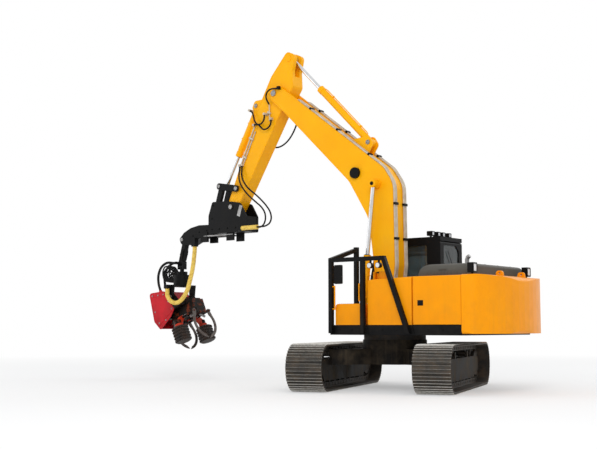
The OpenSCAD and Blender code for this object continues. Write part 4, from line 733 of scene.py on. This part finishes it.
def cylinder_trim():
    """Glands and oil lines of the four cylinders."""
    boom_foot = on_plane(*BOOM_CYLINDER_FOOT)
    boom_eye = BOOM_AXES @ on_plane(*BOOM_CYLINDER_EYE)
    arm_foot = BOOM_AXES @ on_plane(*ARM_CYLINDER_FOOT)
    arm_eye = ARM_AXES @ on_plane(*ARM_CYLINDER_EYE)
    tool_foot = ARM_AXES @ on_plane(*TOOL_CYLINDER_FOOT)
    tool_eye = ARM_AXES @ on_plane(*TOOL_CYLINDER_EYE)
    # Name, foot, rod's eye, Y, barrel's length and radius, body
    rows = [("boom_cylinder_near", boom_foot, boom_eye, BOOM_CYLINDER_Y, 1.3, 0.0675, "boom_barrels"),
            ("boom_cylinder_far", boom_foot, boom_eye, -BOOM_CYLINDER_Y, 1.3, 0.0675, "boom_barrels"),
            ("arm_cylinder", arm_foot, arm_eye, 0, 1.87, 0.075, "arm_barrel"),
            ("tool_cylinder", tool_foot, tool_eye, 0, 1.24, 0.075, "tool_barrel")]
    for name, foot, eye, y, length, radius, body in rows:
        way = eye - foot
        turn = Matrix.Rotation(-math.atan2(way.z, way.x), 4, "Y")
        axes = Matrix.Translation(foot + Vector((0, y, 0))) @ turn
        cylinder_gland(name, axes, length, radius, body)
        cylinder_line(name, axes, length, radius, body)


def boom_rod_eyes():
    """Yellow castings round the eyes of the boom cylinders' rods, with the pins' ends."""
    at = BOOM_AXES @ on_plane(*BOOM_CYLINDER_EYE)
    eyes = Build()
    pins = Build()
    for side in (-1, 1):
        inner, outer, rim, end = (Vector((at.x, side * (BOOM_CYLINDER_Y + out), at.z))
                                  for out in (-0.0545, 0.0565, 0.0625, 0.0705))
        eyes.bar(inner, outer, 0.0845, 40)
        eyes.bar(outer, rim, 0.072, 40, 0.066)
        pins.bar(outer, end, 0.042, 28, 0.037)
        pins.bolt(end, (0, side, 0), 0.012, 0.008)
    eyes.done("boom_rod_eyes", "boom_yellow", "boom_rods")
    pins.done("boom_rod_pins", "black", "boom_rods")


def square_lamp(rims, lenses, at, way, width, height):
    """Rim and shallow pointed lens of a lamp that faces along X, with half its width and height given."""
    at = Vector(at)
    for side in (-1, 1):
        edge = at + Vector((0, side * width, 0))
        rims.box(edge - Vector((0, 0.006, height)), edge + Vector((way * 0.012, 0.006, height)), 0.002)
        edge = at + Vector((0, 0, side * height))
        rims.box(edge - Vector((0, width, 0.006)), edge + Vector((way * 0.012, width, 0.006)), 0.002)
    middle = Matrix.Translation(at + Vector((way * 0.0055, 0, 0)))
    face = Matrix.Rotation(way * math.pi / 2, 4, "Y")
    size = Matrix.Diagonal((0.98 * (height - 0.006), 0.98 * (width - 0.006), 1, 1))
    square = Matrix.Rotation(math.pi / 4, 4, "Z")
    bmesh.ops.create_cone(lenses.mesh, cap_ends=True, segments=4, radius1=math.sqrt(2), radius2=0,
                          depth=0.007, matrix=middle @ face @ size @ square)


def lamps():
    """Rims and lenses of the lamps on the cab's roof and the tail, and of the round ones under the rail."""
    rims = Build()
    lenses = Build()
    for y in (-0.57, -0.8, -0.99, -1.229):
        square_lamp(rims, lenses, (-0.575, y, 3.107), -1, 0.046, 0.040)
        square_lamp(rims, lenses, (-0.465, y, 3.107), 1, 0.046, 0.040)
    for y in (1.18, -0.93):
        square_lamp(rims, lenses, (-2.495, y, 2.27), -1, 0.062, 0.072)
    for x in (-0.37, -0.56):
        rims.tube([(x, 1.4053, 2.37), (x, 1.421, 2.37)], 0.0525, 32)
        lenses.tube([(x, 1.418, 2.37), (x, 1.4235, 2.37)], 0.045, 32)
        rims.bar((x, 1.3353, 2.37), (x, 1.322, 2.37), 0.05, 24, 0.03)
    rims.done("lamp_rims", "black", "upper")
    lenses.done("lamp_lenses", "lens", "upper", 60)


def on_track(gone):
    """Point on the shoes' plates after a distance round the loop, and the way outwards there."""
    straight = 2 * TRACK_HALF
    half_loop = straight + math.pi * PLATE_RADIUS
    turned = -1 if gone >= half_loop else 1
    gone %= half_loop
    bend = max(0, gone - straight) / PLATE_RADIUS
    out = on_plane(-math.sin(bend), -math.cos(bend))
    middle = on_plane(TRACK_HALF - min(gone, straight), 0)
    return on_plane(0, WHEEL_Z) + turned * (middle + out * PLATE_RADIUS), turned * out


def track_bolts():
    """Four bolts on each shoe, and the pins of the chains."""
    pitch = 2 * (2 * TRACK_HALF + math.pi * PLATE_RADIUS) / SHOES
    for name, side in (("left", 1), ("right", -1)):
        made = Build(TRACK_AXES @ Matrix.Translation((0, side * TRACK_Y, 0)))
        for shoe in range(SHOES):
            for share in (0.3, 0.66):
                at, out = on_track((shoe + share) * pitch)
                for y in (-0.078, 0.078):
                    made.bolt(at + Vector((0, y, 0)) - out * 0.001, out, 0.011, 0.008)
            at, out = on_track((shoe + 0.5) * pitch)
            pin = at - out * 0.078
            for y in (-0.1, 0.1):
                made.bar(pin + Vector((0, y - 0.006, 0)), pin + Vector((0, y + 0.006, 0)), 0.026, 14)
        made.done("track_bolts_" + name, "track", "undercarriage")


def skirt_bolts():
    made = Build()
    for x in (-1.2, -0.184):
        for dx in (-0.06, 0.06):
            for z in (1.12, 1.2):
                made.bolt((x + dx, 1.3443, z), (0, 1, 0), 0.012, 0.009)
    for x in (-2.2, -1.9, -1.6, -0.9, -0.6, 0.1, 0.4):
        for side in (-1, 1):
            made.bolt((x, side * BODY_HALF, 1.16), (0, side, 0))
    made.done("skirt_bolts", "black", "upper")


def door_fittings():
    """Latches on both side doors, and louvres in the right one."""
    for name, side in (("left", 1), ("right", -1)):
        made = Build()
        face = side * BODY_HALF
        made.box((-1.50, face - side * 0.004, 1.60), (-1.38, face + side * 0.005, 1.70), 0.003)
        made.box((-1.475, face, 1.635), (-1.405, face + side * 0.012, 1.655), 0.003)
        made.done("door_latch_" + name, "black", name + "_door")
    made = Build()
    for k in range(9):
        z = 1.42 + 0.035 * k
        made.box((-2.15, -BODY_HALF - 0.008, z), (-1.75, -BODY_HALF + 0.003, z + 0.014), 0.003)
    made.done("door_louvres", "yellow", "right_door")


def filler_cap():
    """Tank's cap with grips round its rim."""
    made = Build()
    x, y = -0.395, 1.115
    made.bar((x, y, 2.23), (x, y, 2.262), 0.05, 32, 0.046)
    for dx, dy in around(12, 0.047):
        made.box((x + dx - 0.004, y + dy - 0.004, 2.232), (x + dx + 0.004, y + dy + 0.004, 2.256), 0.001)
    made.done("filler_cap", "black", "upper")


def grip_studs():
    """Studs to stand on, on the step and on the tank."""
    made = Build()
    # First stud's x and y, the studs' feet and tops, and how many along and across
    rows = [(-0.05, 0.85, 1.653, 1.661, 11, 9), (-1.15, 0.55, 2.105, 2.128, 14, 8)]
    for x, y, foot, top, along, across in rows:
        for i in range(along):
            for j in range(across):
                at = Vector((x + 0.049 * i, y + 0.052 * j, 0))
                made.bar(at + on_plane(0, foot), at + on_plane(0, top), 0.012, 10, 0.008)
    made.done("grip_studs", "black", "upper")


def exhaust_stack():
    made = Build()
    made.bar((-1.67, 0, 2.34), (-1.67, 0, 2.47), 0.036, 28)
    made.tube([(-1.67, 0, 2.44), (-1.672, 0, 2.50), (-1.69, 0, 2.545), (-1.73, 0, 2.57)], 0.041, 24)
    made.done("exhaust_stack", "steel", "hood")


def hood_ribs():
    """Ribs and handles on the hood's sides, and stiffeners on its top."""
    made = Build()
    for side in (-1, 1):
        for k in range(10):
            x = -2.1 + 0.07 * k
            made.box((x, side * 1.094, 2.17), (x + 0.03, side * 1.104, 2.24), 0.003)
        made.box((-1.86, side * 1.1, 2.255), (-1.70, side * 1.112, 2.27), 0.003)
    for y in (-0.75, -0.25, 0.25, 0.75):
        made.box((-2.2, y - 0.02, 2.362), (-1.5, y + 0.02, 2.378), 0.005)
    made.done("hood_ribs", "hood_grey", "hood")


def mirror_glass():
    made = Build()
    made.box((0.302, 1.345, 2.045), (0.488, 1.350, 2.405), 0.004)
    made.done("mirror_glass", "chrome", "upper")


def cab_handle():
    """Handle and lock plate of the cab's door."""
    made = Build()
    made.tube([(0.51, -1.345, 1.95), (0.51, -1.375, 1.97), (0.51, -1.375, 2.2), (0.51, -1.345, 2.22)], 0.012)
    made.box((0.47, -1.334, 1.80), (0.55, -1.328, 1.90), 0.004)
    made.done("cab_handle", "black", "cab_door")


def cab_controls():
    """Two joysticks on their consoles, two pedals with levers, and the monitor on its post."""
    made = Build()
    for y in (-1.19, -0.67):
        made.box((-0.05, y - 0.05, 1.79), (0.12, y + 0.05, 1.84), 0.01)
        made.tube([(0.06, y, 1.83), (0.07, y, 1.90), (0.075, y, 1.95)], 0.012, 12)
        made.bar((0.075, y, 1.94), (0.082, y, 2.03), 0.022, 16, 0.018)
    for y in (-1.02, -0.84):
        made.tube([(0.5, y, 1.30), (0.46, y, 1.55), (0.43, y, 1.8)], 0.012, 10)
        made.box((0.47, y - 0.05, 1.33), (0.60, y + 0.05, 1.36), 0.008)
    made.box((0.62, -0.60, 1.95), (0.66, -0.51, 2.18), 0.01)
    made.tube([(0.64, -0.505, 1.3), (0.64, -0.505, 1.98)], 0.015, 10)
    made.done("cab_controls", "black", "upper")


def rear_wiper():
    made = Build()
    route = [(-0.79, -1.0, 2.18), (-0.806, -1.0, 2.2), (-0.808, -0.9, 2.5), (-0.806, -0.75, 2.75)]
    made.tube(route, 0.007, 8)
    made.done("rear_wiper", "black", "upper")


def pad(name, half, crown, lean, at):
    """A crowned pad whose sides pull in between its corners, with two channels sewn along it."""
    made = Build()
    depth, across, width = 0.012, 0.55, 0.07
    bmesh.ops.create_cube(made.mesh, size=2, matrix=Matrix.Diagonal((*half, 1)))
    bmesh.ops.subdivide_edges(made.mesh, edges=made.mesh.edges[:], cuts=9, use_grid_fill=True)
    for v in made.mesh.verts:
        u, w, t = (v.co[k] / half[k] for k in range(3))
        full = (1 - u ** 4) * (1 - w ** 4)
        channel = depth * math.exp(-((abs(w) - across) / width) ** 2) * full
        v.co.z += t * (crown * full - channel - 0.24 * half[2] * (1 - full))
        v.co.x *= 1 - 0.05 * (1 - w * w) * abs(u) ** 6 - 0.10 * abs(t) * abs(u) ** 6
        v.co.y *= 1 - 0.05 * (1 - u * u) * abs(w) ** 6 - 0.10 * abs(t) * abs(w) ** 6
    place = Matrix.Translation(at) @ Matrix.Rotation(lean, 4, "Y")
    bmesh.ops.transform(made.mesh, matrix=place, verts=made.mesh.verts)
    return made.done(name, "seat", "upper", 60)


def padded_seat():
    """Cushion, back and arm rests in place of the CAD seat."""
    pads = [pad("seat_cushion", (0.25, 0.195, 0.055), 0.014, 0.03, (-0.205, -0.93, 1.622)),
            pad("seat_back", (0.31, 0.175, 0.05), 0.014, math.radians(-101), (-0.445, -0.93, 1.99))]
    for name, y in (("arm_rest_near", -0.70), ("arm_rest_far", -1.16)):
        pads.append(pad(name, (0.2, 0.035, 0.025), 0.006, 0, (-0.14, y, 1.762)))
    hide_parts("cab_seat")


def seat_stand():
    """The seat's stand in its bellows, and the arm rests' posts."""
    made = Build()
    made.box((-0.40, -1.05, 1.295), (-0.04, -0.81, 1.56), 0.02)
    for k in range(5):
        z = 1.34 + 0.045 * k
        made.box((-0.41, -1.06, z), (-0.03, -0.80, z + 0.022), 0.008)
    for y in (-0.70, -1.16):
        made.box((-0.36, y - 0.03, 1.63), (-0.12, y + 0.03, 1.738), 0.012)
    made.done("seat_stand", "black", "upper")


def beam_bars():
    made = Build()
    for side in (-1, 1):
        made.tube([(4.24, side * 0.17, 3.3095), (5.16, side * 0.17, 3.3095)], 0.0212, 20)
    made.done("beam_bars", "steel", "beam")


def beam_reflection_plate():
    """Pale steel plate on the beam's near side: a painted reflection of the light on the slanted plate's
    facet.
    """
    made = Build(Matrix.Translation((4.015, 0.2122, 3.825)) @ Matrix.Rotation(-math.atan2(1, 3), 4, "Y"))
    made.box((-0.0475, 0, -0.1265), (0.0475, 0.0023, 0.1265))
    made.done("beam_reflection_plate", "steel", "beam")


def beam_bolts():
    made = Build()
    # Half the beam's width, then the bolts' x and z
    rows = [(0.212, ((3.9, 3.45), (4.15, 3.45), (4.4, 3.45), (4.65, 3.45), (4.88, 3.45), (4.88, 3.7),
                     (4.85, 4.0))),
            (0.15, ((5.1, 3.44), (5.35, 3.42), (5.55, 3.34)))]
    for side in (-1, 1):
        for half, places in rows:
            for x, z in places:
                made.bolt((x, side * half, z), (0, side, 0), 0.016, 0.011)
    made.done("beam_bolts", "black", "beam")


def rotator_lines():
    """Bundle of short hoses beside the rotator, each a loop with a fitting at both ends."""
    made = Build()
    # Furthest reach, top and bottom of each loop, from the far side to the near one
    rows = [(6.43, 2.50, 2.30), (6.58, 2.61, 2.285), (6.49, 2.55, 2.31), (6.63, 2.65, 2.27),
            (6.38, 2.48, 2.315), (6.60, 2.63, 2.28), (6.53, 2.58, 2.30), (6.64, 2.66, 2.27),
            (6.41, 2.49, 2.31), (6.56, 2.60, 2.285), (6.47, 2.53, 2.30)]
    for k, (reach, top, low) in enumerate(rows):
        y = 0.021 * (k - len(rows) // 2)
        middle = (top + low) / 2 + 0.02
        made.tube(smooth_route([
            (6.15, y, 2.41), (6.22, y, 2.42), (6.30, y, top - 0.03), (reach - 0.10, 1.1 * y, top),
            (reach - 0.02, 1.2 * y, top - 0.07), (reach, 1.2 * y, middle),
            (reach - 0.04, 1.2 * y, low + 0.09), (reach - 0.12, 1.1 * y, low + 0.035), (6.22, y, low),
            (6.15, y, low)]), 0.018, 10)
        for z in (2.41, low):
            made.bar((6.195, y, z), (6.225, y, z), 0.02, 6)
    made.done("rotator_lines", "rubber", "rotator")


def link_lines():
    """Three lines on each side of the hanging link, with their clamp."""
    made = Build()
    for side in (-1, 1):
        for k in range(3):
            x = 5.973 - 0.026 * k
            made.tube(smooth_route([
                (x, side * 0.058, 3.05), (x + 0.005, side * 0.076, 3.02), (x + 0.02, side * 0.084, 2.96),
                (x + 0.04, side * 0.084, 2.90), (x + 0.055, side * 0.076, 2.82),
                (x + 0.06, side * 0.058, 2.775)]), 0.011, 10)
        made.box((5.945, side * 0.08 - 0.02, 2.92), (6.025, side * 0.08 + 0.02, 2.94), 0.004)
    made.done("link_lines", "rubber", "hanging_link")


def cover_bolts():
    made = Build(HEAD_AXES)
    for x, z in ((0.25, 0.17), (0.42, 0.23), (0.6, 0.29), (0.16, -0.05), (0.12, -0.25), (0.66, -0.1),
                 (0.63, -0.4), (0.4, -0.42)):
        for y in COVER_SIDES:
            made.bolt((x, y, z), (0, math.copysign(1, y), 0), 0.014, 0.010)
    made.done("cover_bolts", "steel", "head")


def cover_rims():
    """Folded rims round the cover's sides, and two stiffeners across each."""
    made = Build(HEAD_AXES)
    outline = rounded(COVER_OUTLINE)
    for y in COVER_SIDES:
        made.tube([(point.x, y, point.y) for point in outline + outline[:1]], 0.007, 8)
        made.tube([(0.22, y, 0.14), (0.58, y, 0.25)], 0.009, 8)
        made.tube([(0.15, y, -0.30), (0.66, y, -0.46)], 0.009, 8)
    made.done("cover_rims", "red", "head")


def feed_motors():
    """Motors over the feed rollers."""
    x, z = -0.025, -0.72
    for name, y in (("near", 0.4), ("far", -0.4)):
        made = Build(HEAD_AXES)
        made.bar((x, y, z), (x, y, z + 0.09), 0.075, 28)
        made.bar((x, y, z + 0.09), (x, y, z + 0.11), 0.06, 28, 0.05)
        for dx, dy in around(8, 0.085):
            made.bolt((x + dx, y + dy, z), (0, 0, 1), 0.009, 0.008)
        made.done("feed_motor_" + name, "head_black", "feed_arm_" + name)


def saw_chain():
    """Links along both edges of the saw's bar and round its tip."""
    made = Build(HEAD_AXES)
    x, root, tip, z, half = 0.405, 0.20, -0.377, -0.36, 0.047
    link = Vector((0.006, 0.011, 0.006))
    run = [root + (tip - root) * k / 20 for k in range(21)]
    route = [Vector((x, y, z + half)) for y in run]
    for angle in (0.6, 1.2, 1.9, 2.5):
        out, up = (half - 0.012) * math.sin(angle), (half - 0.004) * math.cos(angle)
        route.append(Vector((x, tip - out, z + up)))
    route += [Vector((x, y, z - half)) for y in reversed(run)]
    for a, b in zip(route, route[1:]):
        middle = (a + b) / 2
        made.box(middle - link, middle + link, 0.002)
    made.done("saw_chain", "steel", "saw")


def valve_block():
    """Valve block on the head's frame, with two rows of fittings."""
    made = Build(HEAD_AXES)
    made.box((-0.18, -0.16, -0.252), (0.02, 0.16, -0.12), 0.008)
    for k in range(6):
        y = -0.13 + 0.052 * k
        for x in (-0.14, -0.05):
            made.bar((x, y, -0.12), (x, y, -0.095), 0.017, 6)
    made.done("valve_block", "head_black", "head")


def head_lines():
    """Lines from the valve block's fittings down behind it."""
    made = Build(HEAD_AXES)
    for k in range(5):
        y = -0.13 + 0.052 * k
        made.tube(smooth_route([
            (-0.140, y, -0.098), (-0.141, y, -0.084 - 0.002 * k), (-0.166, 1.15 * y, -0.078 - 0.003 * k),
            (-0.196, 1.25 * y, -0.108), (-0.205, 1.25 * y, -0.175), (-0.205, 1.20 * y, -0.252)]), 0.011, 10)
    made.done("head_lines", "rubber", "head")


def knife_rams():
    made = Build(HEAD_AXES)
    for side in (-1, 1):
        made.bar((-0.30, side * 0.09, -0.56), (-0.30, side * 0.235, -0.64), 0.03, 20)
        made.bar((-0.20, side * 0.235, -0.545), (0.10, side * 0.235, -0.545), 0.026, 20)
    made.done("knife_rams", "steel", "head")


add_camera()
add_hoses()
dress_nodes()
weld_seams()
pin_caps()
cylinder_trim()
boom_rod_eyes()
lamps()
track_bolts()
skirt_bolts()
door_fittings()
filler_cap()
grip_studs()
exhaust_stack()
hood_ribs()
mirror_glass()
cab_handle()
cab_controls()
rear_wiper()
padded_seat()
seat_stand()
beam_bars()
beam_reflection_plate()
beam_bolts()
rotator_lines()
link_lines()
cover_bolts()
cover_rims()
feed_motors()
saw_chain()
valve_block()
head_lines()
knife_rams()
add_floor()
add_lights()
